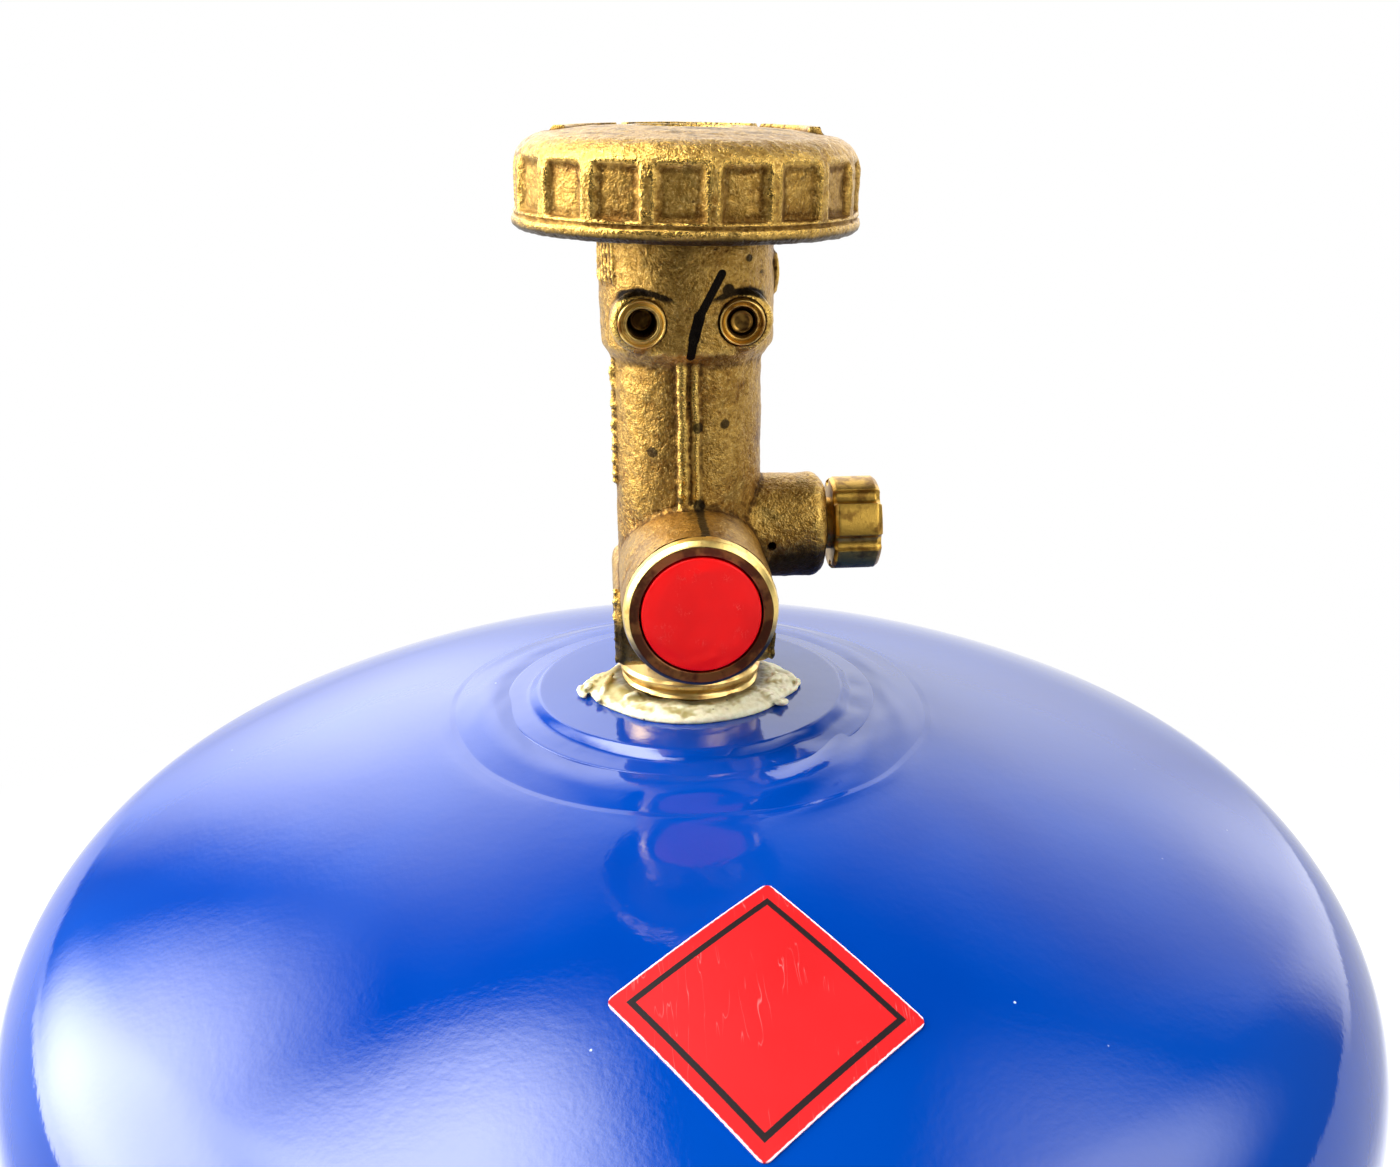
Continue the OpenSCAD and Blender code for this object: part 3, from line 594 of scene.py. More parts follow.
def cast_brass(name, stains_and_shade, grain=1.0, worn=1.0, sunk=1.0):
    """Sand-cast brass: warm gold with brown and olive tarnish, brighter on worn edges, with painted
    shade in hollows and painted highlight glints.
    """
    g = Graph(name)
    broad = g.noise(13, 3, 0.55, seed=1)
    fine = g.noise(1.5, 3, 0.6, seed=2)
    sand = g.noise(0.42, 2, 0.6, seed=3)
    edge = g.attribute("edge")
    gold = g.mix(fine.between(0.3, 0.72), srgb(148, 111, 47), srgb(188, 150, 76))
    brown = g.mix(sand.between(0.3, 0.7), srgb(98, 66, 24), srgb(140, 98, 40))
    # The shift to brown in hollows (edge below 0.5, times sunk) is tarnish and painted shade.
    tarnish = broad * 0.62 + fine * 0.38 + (0.5 - edge) * 0.5 * sunk
    color = g.mix(tarnish.between(0.47, 0.66), gold, brown)
    olive = g.noise(5.5, 3, 0.6, seed=5).between(0.58, 0.75)
    color = g.mix(olive * 0.4, color, srgb(128, 112, 62))
    # Bright flecks of this grain are painted highlight glints; its dark flecks are grain.
    grain_and_glint = g.noise(0.62, 2, 0.7, seed=12)
    color = g.mix(grain_and_glint.between(0.52, 0.74) * 0.55, color, srgb(222, 188, 114))
    color = g.mix(grain_and_glint.between(0.46, 0.28) * 0.6, color, srgb(74, 48, 16))
    color = g.mix(edge.between(0.56, 0.8) * 0.7 * worn, color, srgb(224, 186, 96))
    # Painted shade: the hollows are darkened to deep brown, times sunk.
    hollow = edge.between(0.46, 0.24)
    color = g.mix(hollow * 0.7 * sunk, color, srgb(58, 40, 20))
    away, pick = g.spots(2.6, seed=6)
    pit = (0.16 - away).between(0, 0.1) * pick.between(0.78, 0.84)
    color = g.mix(pit * 0.7, color, srgb(70, 52, 30))
    rough = 0.31 + fine * 0.15 + hollow * 0.2 - edge.between(0.56, 0.8) * 0.14
    # Dark stains, and painted shadow under the wheel and the rim band, from the function passed in.
    dark = stains_and_shade(g, fine, sand)
    color = g.mix(dark, color, srgb(24, 20, 16))
    rough = rough + dark * 0.12
    normal = g.bump(g.noise(4, 2, 0.5, seed=9), 0.16 * grain)
    normal = g.bump(sand * 0.45 + fine * 0.3 + grain_and_glint * 0.45, 0.36 * grain, normal)
    normal = g.bump(1 - pit, 0.12, normal)
    return g.surface(color, rough, normal, Metallic=1.0)


def turned_brass(name, matrix, gold, tarnish, share, low=None):
    """Brass from the lathe: fine rings round the piece's axis, and tarnish on a share of it.

    Below a height of low on its own axes the piece is dark all over.
    """
    ring_pitch = 0.22
    g = Graph(f"turned_{name}")
    x, y, z = g.axes(matrix)
    radius = (x * x + y * y) ** 0.5
    rings = ((radius + z) * (math.tau / ring_pitch)).math("SINE")
    patch = g.noise(4.5, 3, 0.6, seed=7)
    fleck = g.noise(0.5, 2, 0.6, seed=8)
    spread = patch.between(0.62 - share * 0.3, 0.80 - share * 0.3)
    color = g.mix(spread, srgb(*gold), srgb(*tarnish))
    color = g.mix(fleck.between(0.62, 0.8) * 0.5, color, srgb(74, 50, 26))
    if low is not None:
        below = (y + (patch - 0.5) * 9).between(low, low - 5)
        color = g.mix(below * 0.92, color, srgb(54, 34, 24))
    rough = 0.2 + patch * 0.16 + fleck * 0.08
    normal = g.bump(rings * 0.5 + 0.5, 0.008)
    normal = g.bump(fleck, 0.03, normal)
    return g.surface(color, rough, normal, Metallic=1.0)


def plain(name, color, other, roughness, **constants):
    """A plain finish with a fine grain and a soft change of tone."""
    g = Graph(name)
    tone = g.noise(12, 2, seed=1)
    grain = g.noise(0.6, 2, 0.6, seed=2)
    shade = g.mix(tone.between(0.35, 0.65), srgb(*color), srgb(*other))
    rough = roughness + grain * 0.1 + tone * 0.05
    return g.surface(shade, rough, g.bump(grain, 0.02), **constants)


def red_plastic():
    g = Graph("red_plastic")
    x, y, _ = g.axes(ON_PLUG)
    tone = g.noise(9, 2, seed=1)
    color = g.mix(tone.between(0.3, 0.7), srgb(206, 2, 2), srgb(217, 6, 5))
    radius = (x * x + y * y) ** 0.5
    scuffs = g.noise(1.4, 3, 0.6, seed=4, stretch=(1, 1, 0.4), warp=1.4)
    line = (scuffs - 0.5).size().between(0.0, 0.012, to=(1, 0))
    worn = line * g.noise(5, 2, seed=5).between(0.5, 0.62) * radius.between(10.6, 8.5)
    color = g.mix(worn * 0.4, color, srgb(255, 120, 105))
    rough = 0.34 + tone * 0.1 + worn * 0.2
    normal = g.bump(g.noise(3.4, 2, seed=6), 0.06)
    normal = g.bump(g.noise(0.35, 2, seed=7), 0.012, normal)
    normal = g.bump(worn, 0.05, normal)
    return g.surface(
        color, rough, normal, Subsurface_Weight=0.12, Subsurface_Scale=0.002,
        Specular_IOR_Level=0.18,
    )


def thread_paste():
    """Cream sealant, olive in its hollows and at the left, and painted shade in brown against the
    thread.
    """
    g = Graph("sealant")
    fine = g.noise(1.2, 3, 0.6, seed=1)
    broad = g.noise(4.5, 2, seed=2)
    edge = g.attribute("edge")
    color = g.mix(fine.between(0.3, 0.7), srgb(218, 210, 172), srgb(232, 226, 196))
    x, y, z = g.axes(ON_VALVE_MM)
    side = x.between(-12, -17)
    olive = (broad * 0.8 + (0.5 - edge) * 0.5 + z * 0.08 + side * 0.2).between(0.54, 0.76)
    color = g.mix(olive * 0.85, color, srgb(146, 128, 58))
    radius = (x * x + y * y) ** 0.5
    # Painted shade below the flange, darkest right against the thread.
    shade = (radius + fine * 1.6 + broad).between(20.2, 18.0)
    color = g.mix(shade * 0.75, color, srgb(112, 98, 42))
    deep_shade = (radius + fine * 1.6).between(17.9, 16.6)
    color = g.mix(deep_shade * 0.8, color, srgb(52, 42, 20))
    away, pick = g.spots(1.6, seed=4)
    dirt = (0.22 - away).between(0, 0.08) * pick.between(0.90, 0.93)
    color = g.mix(dirt, color, srgb(34, 34, 38))
    rough = 0.36 + fine * 0.2
    normal = g.bump(fine, 0.12)
    return g.surface(color, rough, normal, Subsurface_Weight=0.25, Subsurface_Scale=0.0015)


STICKER_HALF = 18.5
LINE_IN = 2.45
LINE_WIDTH = 1.1


def red_film():
    """Matt red film with a plain black line inside its edge."""
    g = Graph("red_film")
    u, v = g.attribute("across"), g.attribute("along")
    reach = STICKER_HALF - u.size().most(v.size())
    grain = g.noise(0.5, 2, 0.6, seed=1)
    tone = g.noise(16, 2, seed=2)
    color = g.mix(tone.between(0.3, 0.7), srgb(171, 7, 11), srgb(179, 12, 16))
    scratch = g.noise(2.2, 2, 0.5, seed=3, stretch=(1, 0.1, 0.1), warp=0.3)
    line = (scratch - 0.5).size().between(0.0, 0.008, to=(1, 0))
    line = line * g.noise(9, 2, seed=4).between(0.5, 0.64)
    color = g.mix(line * 0.35, color, srgb(255, 130, 128))
    ragged, line_out = reach + (grain - 0.5) * 0.12, LINE_IN + LINE_WIDTH
    ink = ragged.between(LINE_IN, LINE_IN + 0.08) * ragged.between(line_out + 0.08, line_out)
    color = g.mix(ink, color, srgb(20, 8, 10))
    cut_edge = (reach + (g.noise(0.9, 2, seed=6) - 0.5) * 0.35).between(0.34, 0.12)
    color = g.mix(cut_edge * 0.9, color, srgb(250, 205, 215))
    rough = 0.42 + grain * 0.12 + line * 0.1
    normal = g.bump(g.noise(6, 2, seed=5), 0.05)
    normal = g.bump(grain, 0.012, normal)
    return g.surface(color, rough, normal, Specular_IOR_Level=0.22)


def valve_stains_and_shade(g, fine, sand):
    """Dark spots, a marker's stroke and dark arcs over the pins on the valve body, painted shadow
    under the wheel, darker patches below the bleed boss, grime on it and tarnish low on the block.
    """
    x, y, z = g.axes(ON_VALVE_MM)
    ragged = fine * 0.9 + sand * 0.7 - 0.8
    front = y.between(-9, -11)

    def spot(share, at_x, at_z, radius, soft=0.35):
        dx, dz = x - at_x, z - at_z
        away = (dx * dx + dz * dz) ** 0.5
        return (radius - away + ragged * soft).between(-0.12, 0.18) * front * share

    def stroke(start, end, width):
        """A marker's stroke between two points, as x and height."""
        (ax, az), (bx, bz) = start, end
        length = math.dist(start, end)
        ux, uz = (bx - ax) / length, (bz - az) / length
        along = ((x - ax) * ux + (z - az) * uz).most(0).least(length)
        dx, dz = x - ax - along * ux, z - az - along * uz
        away = (dx * dx + dz * dz) ** 0.5
        return (width / 2 - away + ragged * 0.2).between(-0.05, 0.12) * front

    def brow(at_x, radius):
        """A dark arc over one of the pins."""
        dx, dz = x - at_x, z - PIN_Z
        away = ((dx * dx * 0.6 + dz * dz) ** 0.5 - radius).size()
        arc = (0.75 - away + ragged * 0.6).between(-0.1, 0.3)
        return arc * dz.between(3.4, 4.6) * front * 0.95

    dark = spot(0.85, -8.0, 55.6, 1.1)
    for mark in (
        spot(0.85, 1.05, 60.9, 1.1), spot(0.85, 6.5, 61.1, 1.0), spot(0.95, 7.0, 87.6, 1.25),
        spot(0.85, 11.1, 93.2, 0.75, 0.9), spot(0.8, 14.0, 90.3, 0.5, 0.8),
        spot(0.9, 1.2, 45.2, 1.3, 0.9), spot(0.8, -2.6, 46.3, 0.7, 0.8),
        brow(-PIN_X, 5.75), brow(PIN_X, 5.65),
        stroke((5.7, 90.7), (1.3, 82.8), 1.75), stroke((1.3, 82.8), (0.2, 78.6), 2.25),
        stroke((0.2, 78.6), (-0.4, 75.3), 1.8),
    ):
        dark = dark.most(mark)
    shade_and_grime = g.noise(9, 3, 0.6, seed=21)
    # Painted shadow under the wheel, across the top of the collar.
    under_wheel = (z + shade_and_grime * 3.5).between(96.2, 99.6)
    under = z.between(BLEED_Z + 2, BLEED_Z - 8) * x.between(15, 17)
    under_bleed = (under + shade_and_grime - 0.62).between(0, 0.5) * x.between(14.4, 15.4)
    away = (x - 22.5).size() * 0.06 + (z - BLEED_Z + 2.5).size() * 0.08
    on_bleed = (g.noise(2.2, 3, 0.65, seed=22) - away).between(0.36, 0.5) * x.between(16, 18)
    block = x.between(-13.4, -15.0) * z.between(29, 27) * z.between(9, 11)
    on_block = block * (shade_and_grime + 0.9 - (z - 11) * 0.055).between(0.72, 1.0)
    for share, mark in ((0.7, under_wheel), (0.85, under_bleed), (0.7, on_bleed), (0.9, on_block)):
        dark = dark.most(mark * share)
    return dark


def wheel_stains_and_shade(g, fine, sand):
    """Painted shade under the rim band, a few dark patches and grime on the top."""
    x, y, z = g.axes(ON_VALVE_MM)
    shade_and_grime = g.noise(5, 3, 0.65, seed=31)
    radius = (x * x + y * y) ** 0.5
    level = z + x * math.tan(math.radians(WHEEL_LEAN))
    # Painted shade: the underside of the rim band is darkened.
    under = (level + shade_and_grime * 0.9).between(99.9, 98.9)
    patch = g.noise(3.4, 3, 0.6, seed=33).between(0.68, 0.74)
    top = z.between(114, 115.5) * radius.between(27, 25)
    return (under * 0.88).most(patch * 0.6).most(top * shade_and_grime.between(0.48, 0.62) * 0.5)


WHEEL_LEAN = 1.3
paint = blue_paint()
casting_metal = cast_brass("cast_brass", valve_stains_and_shade)
wheel_metal = cast_brass("cast_brass_wheel", wheel_stains_and_shade, grain=1.1, worn=0.35, sunk=0.45)
outlet_metal = turned_brass("outlet", ON_PLUG, (196, 140, 80), (128, 82, 54), 0.7)
edge_metal = turned_brass("edge", ON_PLUG, (246, 214, 128), (206, 160, 84), 0.3, low=-2.5)
flange_metal = turned_brass("flange", ON_VALVE_MM, (240, 204, 128), (196, 148, 84), 0.4)
knob_metal = turned_brass("knob", ON_KNOB, (206, 164, 74), (140, 104, 46), 0.45)
pin_metal = turned_brass("pins", ON_PLUG, (236, 198, 110), (150, 104, 50), 0.35)
pin_end_metal = turned_brass("pin_ends", ON_PLUG, (190, 146, 70), (90, 62, 30), 0.6)
plug_plastic = red_plastic()
paste = thread_paste()
film = red_film()
steel = plain("bright_steel", (170, 172, 176), (150, 152, 156), 0.28, Metallic=1.0)
rubber = plain("black_rubber", (26, 26, 27), (34, 34, 35), 0.6)
white_plastic = plain("white_plastic", (226, 222, 208), (214, 210, 194), 0.4)
yellow_plastic = plain("yellow_plastic", (222, 178, 26), (230, 188, 40), 0.38)


FINISHES = {
    "blue_paint": paint, "red_film": film, "sealant": paste, "cast_brass": casting_metal,
    "turned_brass": knob_metal, "bright_steel": steel, "black_rubber": rubber,
    "white_plastic": white_plastic, "yellow_plastic": yellow_plastic, "red_plastic": plug_plastic,
}


def slot_name(obj):
    return obj.data.materials[0].name.split(".")[0] if obj.data.materials else ""


for node_name, node in frame["nodes"].items():
    finish = FINISHES.get(slot_name(node), steel)
    node.data.materials.clear()
    node.data.materials.append(finish)

# ---------------------------------------------------------------- tank

TANK_R, CROWN_R, KNUCKLE_R, WALL = 150.0, 281.6, 43.7, 3.0
HEAD_H = CROWN_R - math.sqrt((CROWN_R - KNUCKLE_R) ** 2 - (TANK_R - KNUCKLE_R) ** 2)


CROWN_TOP = math.asin((TANK_R - KNUCKLE_R) / (CROWN_R - KNUCKLE_R))
NECK_R, STEP_R, CREASE_R = 33.5, 46.5, 51.8
STEP_Z = -2.66
FOOT = STEP_Z + 0.5


def crown_z(r):
    return math.sqrt(CROWN_R**2 - r**2) - CROWN_R


def head_path(from_r, inset, step):
    """The upper head's section from a radius down to its tangent with the straight wall."""
    crown, knuckle = CROWN_R - inset, KNUCKLE_R - inset
    first = math.asin(from_r / crown)
    count = int((CROWN_TOP - first) * crown / step)
    path = [
        (crown * math.sin(a), crown * math.cos(a) - CROWN_R)
        for a in (first + (CROWN_TOP - first) * i / count for i in range(count))
    ]
    count = int((math.pi / 2 - CROWN_TOP) * knuckle / step * 1.6)
    for i in range(count + 1):
        a = CROWN_TOP + (math.pi / 2 - CROWN_TOP) * i / count
        path.append((TANK_R - KNUCKLE_R + knuckle * math.sin(a), knuckle * math.cos(a) - HEAD_H))
    return path


def upper_shell():
    """The upper head, pressed down round the neck, and the wall below it."""
    bottom = (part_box("upper_shell")[0].z - APEX_Z) * 1000
    hole_r, seat_z, lip_r = NECK_R + 0.1, STEP_Z - 0.1, CREASE_R + 1.3
    ring = rounded(
        [(hole_r, seat_z), (STEP_R - 1.5, seat_z, 16), (CREASE_R, crown_z(CREASE_R) - 0.12, 0.7),
         (lip_r, crown_z(lip_r) + 0.02, 1.2), (CREASE_R + 3.2, crown_z(CREASE_R + 3.2))],
        step=0.3, straight=0.4, closed=False,
    )
    outside = ring + head_path(CREASE_R + 4, 0, 2.6)
    outside += [(TANK_R, z) for z in np.linspace(-HEAD_H - 6, bottom + 1, 22)]
    inside = [(TANK_R - WALL, bottom)] + head_path(hole_r, WALL, 5)[::-1]
    edge = [(TANK_R, bottom)]
    wave, crease, fine, dent = waves(3, 2, 7), waves(5, 2, 6), waves(9, 9, 22), waves(10, 7, 16)

    def press(r, a, z):
        pressed = ramp(r, 34, 2) * ramp(r, 56, -3) * (z > -6)
        right = facing(a, -35)
        lift = 0.13 * wave(a + r * 0.02) + 0.04 * fine(a - r * 0.05)
        lift = lift + 0.2 * right * dent(a + r * 0.06)
        slope = ramp(r, 42, 3) * pressed
        move = (0.5 * crease(a) + 0.45 * (0.25 + right) * dent(a)) * slope
        return r + move, z + lift * pressed - pressed * 0.05

    obj = joined("tank_upper_shell", [revolve(outside + edge + inside, 360, shape=press)])
    finish_piece(obj, "tank", ["upper_shell"], ON_APEX, [paint], sharp=40)


def neck():
    """The boss and the weld round it, under one coat of paint."""
    toe = NECK_R + 7.0
    section = rounded(
        [(14.5, 0), (NECK_R - 0.2, 0, 1.5), (NECK_R + 2.1, FOOT + 0.55, 2.4), (toe, FOOT - 0.12, 1),
         (toe, FOOT - 0.6), (NECK_R, FOOT - 0.6), (NECK_R, -9), (23, -13), (23, -30), (13, -30)],
        step=0.15, straight=0.5,
    )
    ripple, drift = waves(21, 30, 60), waves(22, 2, 8)
    lump, wave = waves(23, 9, 24), waves(12, 2, 6)

    def weld(r, a, z):
        slope = ramp(r, NECK_R - 0.6, 1.4) * ramp(r, NECK_R + 6.6, -2.4) * (z > -5)
        right = facing(a, -40)
        out = slope * (0.4 * drift(a) + 0.55 * right * lump(a))
        rise = slope * (0.02 * ripple(a) + 0.1 * drift(a + 1) + 0.16 * right * lump(a + 2))
        sunk = (0.03 + 0.05 * wave(a)) * ramp(r, 24, 9) * (z > -0.2)
        return r + out, z + rise - sunk

    obj = joined("tank_neck", [revolve(section, 360, shape=weld)])
    finish_piece(obj, "tank", ["neck_boss", "neck_weld"], ON_VALVE, [paint], sharp=60)


def sticker():
    """A square of film on the crown, with rounded corners and a slightly rough cut edge."""
    half, thick, glue, corner_r, fray = STICKER_HALF, 0.3, 0.06, 1.5, 0.05
    from_axis, azimuth, turn = 95.4, math.radians(3.4), math.radians(35)
    tilt = math.asin(from_axis / CROWN_R)
    count = 72
    line = np.linspace(-1, 1, count)
    grid = np.meshgrid(line * half, line * half)
    past = [np.clip(np.abs(side) - (half - corner_r), 0, None) for side in grid]
    over = np.hypot(*past)
    outside = (past[0] > 0) & (past[1] > 0) & (over > corner_r)
    pull = np.where(outside, corner_r / np.maximum(over, 1e-6), 1)
    u, v = (
        np.sign(side) * (np.minimum(np.abs(side), half - corner_r) + beyond * pull)
        + fray * wave(other / 6) * (np.abs(side) == half)
        for side, other, beyond, wave in zip(
            grid, grid[::-1], past, (waves(31, 9, 40), waves(32, 9, 40)))
    )
    curl = 0.05 * ramp(np.maximum(*np.abs(grid)) / half, 0.9, 0.1)
    rows = []
    for lift, curled in ((glue, 0), (glue + thick, curl)):
        height = np.sqrt((CROWN_R + lift) ** 2 - u**2 - v**2) + curled
        rows.append(np.stack((u, v, height), -1).reshape(-1, 3))
    verts = np.concatenate(rows)
    size = count * count
    faces = []
    for i in range(count - 1):
        for j in range(count - 1):
            a = i * count + j
            faces.append((a + size, a + 1 + size, a + count + 1 + size, a + count + size))
            faces.append((a, a + count, a + count + 1, a + 1))
    border = list(range(count)) + [i * count + count - 1 for i in range(1, count)]
    border += [size - 1 - i for i in range(1, count)]
    border += [i * count for i in range(count - 2, 0, -1)]
    for a, b in zip(border, border[1:] + border[:1]):
        faces.append((a, b, b + size, a + size))
    obj = joined("tank_sticker", [mesh_from(verts.tolist(), faces)])
    flat = of_points(obj, "co")
    paint_points(obj, "across", flat[:, 0])
    paint_points(obj, "along", flat[:, 1])
    place = Matrix.Translation((0, 0, -CROWN_R))
    for angle, axis in ((azimuth, "Z"), (tilt, "X"), (turn, "Z")):
        place = place @ Matrix.Rotation(angle, 4, axis)
    finish_piece(obj, "tank", ["diamond_sticker"], ON_APEX @ place, [film], sharp=40)


def girth_bead():
    """The ring weld, with the ripples that its pool leaves."""
    low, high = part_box("girth_weld")
    mid, half = (low.z + high.z) * 500, (high.z - low.z) * 500
    reach, root = high.x * 1000, TANK_R - 2.6
    section = rounded(
        [(root, mid - half), (TANK_R, mid - half, 1.5), (reach, mid - 1.6, 3),
         (reach, mid + 1.6, 3), (TANK_R, mid + half, 1.5), (root, mid + half)],
        step=0.5, straight=1.0,
    )
    ripple, drift = waves(41, 150, 190), waves(42, 3, 12)

    def weld(r, a, z):
        share = ramp(r, TANK_R - 0.6, 1.4)
        return r - share * (0.12 + 0.1 * ripple(a)), z + share * 0.35 * drift(a)

    obj = joined("tank_girth_weld", [revolve(section, 720, shape=weld)])
    finish_piece(obj, "tank", ["girth_weld"], MM, [paint], sharp=60)


upper_shell()
neck()
sticker()
girth_bead()

# ---------------------------------------------------------------- paste round the thread


def paste_bead():
    """Sealant squeezed out of the thread: a low ring, strands and crumbs, grown together."""
    rng = random.Random(7)
    reach, height, lump = waves(51, 2, 7), waves(52, 2, 9), waves(53, 7, 19)

    def spread(r, a, z):
        side = np.abs((np.degrees(a) + 90 + 180) % 360 - 180) / 90
        behind = ramp(side, 0.98, 0.22)
        ragged = (0.25 + 0.75 * ramp(side, 0.4, 0.3)) * (0.8 * reach(a) + 0.5 * lump(a))
        out = -0.5 + 1.3 * np.clip(side, 0, 1) ** 2 + ragged - 5.2 * behind
        top = np.clip(z, 0, 3) / 3
        return r + out * ramp(r, 15.4, 7), z + top * (0.35 * height(a) + 0.2 * lump(a + 1))

    section = rounded(
        [(14.45, 0), (22.6, 0, 0.2), (22.4, 1.3, 1.0), (18.5, 2.3, 1.4), (15.2, 2.2, 0.5),
         (14.45, 2.2)],
        step=0.3, straight=0.5,
    )
    parts = [revolve(section, 180, shape=spread)]

    def at(angle, r, z):
        """A point at an angle from the front, in degrees towards the right."""
        a = math.radians(angle)
        return Vector((r * math.sin(a), -r * math.cos(a), z))

    def strand(radius, *points):
        points = [at(*point) for point in points]
        for start, end in zip(points, points[1:]):
            steps = max(2, int((end - start).length / (radius * 0.5)))
            for k in range(steps):
                wander = Vector(rng.uniform(-0.25, 0.25) for _ in range(3)) * 0.4
                size = radius * rng.uniform(0.75, 1.15)
                shape = (1, 1, rng.uniform(0.7, 1.1))
                parts.append(ball(start.lerp(end, k / steps) + wander, size, shape))

    strand(0.62, (-62, 21.6, 0.5), (-66, 21.0, 2.0), (-72, 19.4, 3.0), (-84, 17.0, 3.4))
    strand(0.8, (-48, 20.5, 0.8), (-50, 18.6, 1.9), (-46, 16.4, 2.4))
    strand(0.72, (-74, 24.3, 0.5), (-79, 24.8, 1.2), (-83, 23.4, 1.1), (-78, 22.4, 0.7))
    strand(0.75, (52, 17.6, 2.2), (60, 19.6, 1.7), (64, 22.0, 0.8))
    strand(0.95, (72, 17.6, 2.0), (80, 20.4, 1.8), (82, 23.0, 0.9))
    strand(0.6, (66, 22.4, 0.5), (74, 23.6, 0.6), (84, 23.8, 0.6))
    for _ in range(46):
        angle = rng.choice((rng.uniform(-98, -55), rng.uniform(48, 98)))
        radius = rng.uniform(0.35, 1.0)
        place = at(angle, rng.uniform(18, 23.6), rng.uniform(0.4, 2.1))
        parts.append(ball(place, radius, (1.5, 0.9, 0.8), rng.uniform(0, math.pi)))
    obj = joined("valve_thread_paste", parts)
    modified(obj, "REMESH", mode="VOXEL", voxel_size=0.28)
    modified(obj, "SMOOTH", factor=0.5, iterations=4)
    roughened(obj, [(1.1, 0.13), (3.0, 0.42)], keep=lambda co: ramp(co[:, 2], 0, 0.6))
    cut(obj, box_mesh((-40, -40, -6), (40, 40, 0.01)))
    largest_shell(obj)
    edge_wear_and_hollow_shade(obj)
    finish_piece(obj, "tank", ["thread_sealant"], ON_VALVE, [paste])


paste_bead()

# ---------------------------------------------------------------- valve body

# Radii and heights of the casting. The outlet's boss is as thick as the column, so the two
# meet along straight lines.
COLUMN_R, COLLAR_R, COLLAR_TOP = 15.1, 17.5, 98.9
BLOCK_HALF, BLOCK_LOW, BLOCK_TOP = 16.3, 10.5, 28.0
CAST_REACH = 33.6  # The outlet's casting ends here, and its turned nose begins.


def casting_flash(rng):
    """Balls along the lines where the mould's parts met, and on its ragged corners."""
    wander = [waves(60 + k, 1, 6) for k in range(2)]
    parts = []
    for side, r, reach in ((-1.95, 1.15, 0.3), (0.48, 0.95, 0.15)):
        for z in np.arange(OUTLET_Z + 14, 76, 0.5):
            place = side + 0.12 * wander[0](z / 9), 0.15 - COLUMN_R - reach, z
            parts.append(ball(place, r * rng.uniform(0.95, 1.05), (1, 0.9, 1.3)))
    parts.append(box_mesh((-3.2, -16.4, OUTLET_Z + 14.2), (1.2, -13, OUTLET_Z + 16.0), 0.6))
    for k in range(-52, 53):
        x = k / 4
        s = math.sqrt(COLUMN_R**2 - x * x) + 0.02
        parts.append(ball((x, -s, OUTLET_Z + s), 0.35 + 0.12 * wander[1](k / 12), (1.2, 1, 1)))
    for z in np.arange(47, 74, 0.32):
        if rng.random() < 0.72:
            grow = rng.uniform(0.45, 0.85)
            place = -COLUMN_R - rng.uniform(0, 0.35), rng.uniform(-2.4, -1.2), z
            parts.append(ball(place, grow, (1, 1.3, 0.8)))
    for z in np.arange(85.5, 92.5, 0.3):
        bulge = 0.45 * math.sin((z - 85.5) / 7 * math.pi)
        place = COLLAR_R + 0.1 + bulge, -1.5, z
        parts.append(ball(place, rng.uniform(0.45, 0.75), (1, 1.6, 1)))
    for k in range(7):
        a = math.radians(-58 - 5.2 * k)
        for z in np.arange(88.5, 97, 0.4):
            if rng.random() < 0.8:
                place = COLLAR_R * math.sin(a), -COLLAR_R * math.cos(a), z
                parts.append(ball(place, rng.uniform(0.3, 0.62)))
    for z in np.arange(BLOCK_LOW + 1, BLOCK_TOP - 0.5, 0.35):
        grow = rng.uniform(0.3, 0.8)
        place = 16.2 + rng.uniform(-0.2, 0.2), -15.2 + rng.uniform(-0.4, 0.4), z
        parts.append(ball(place, grow))
        if rng.random() < 0.5:
            parts.append(ball((-16.2, -14.6 + rng.uniform(-0.5, 0.5), z), grow * 0.8))
    return parts


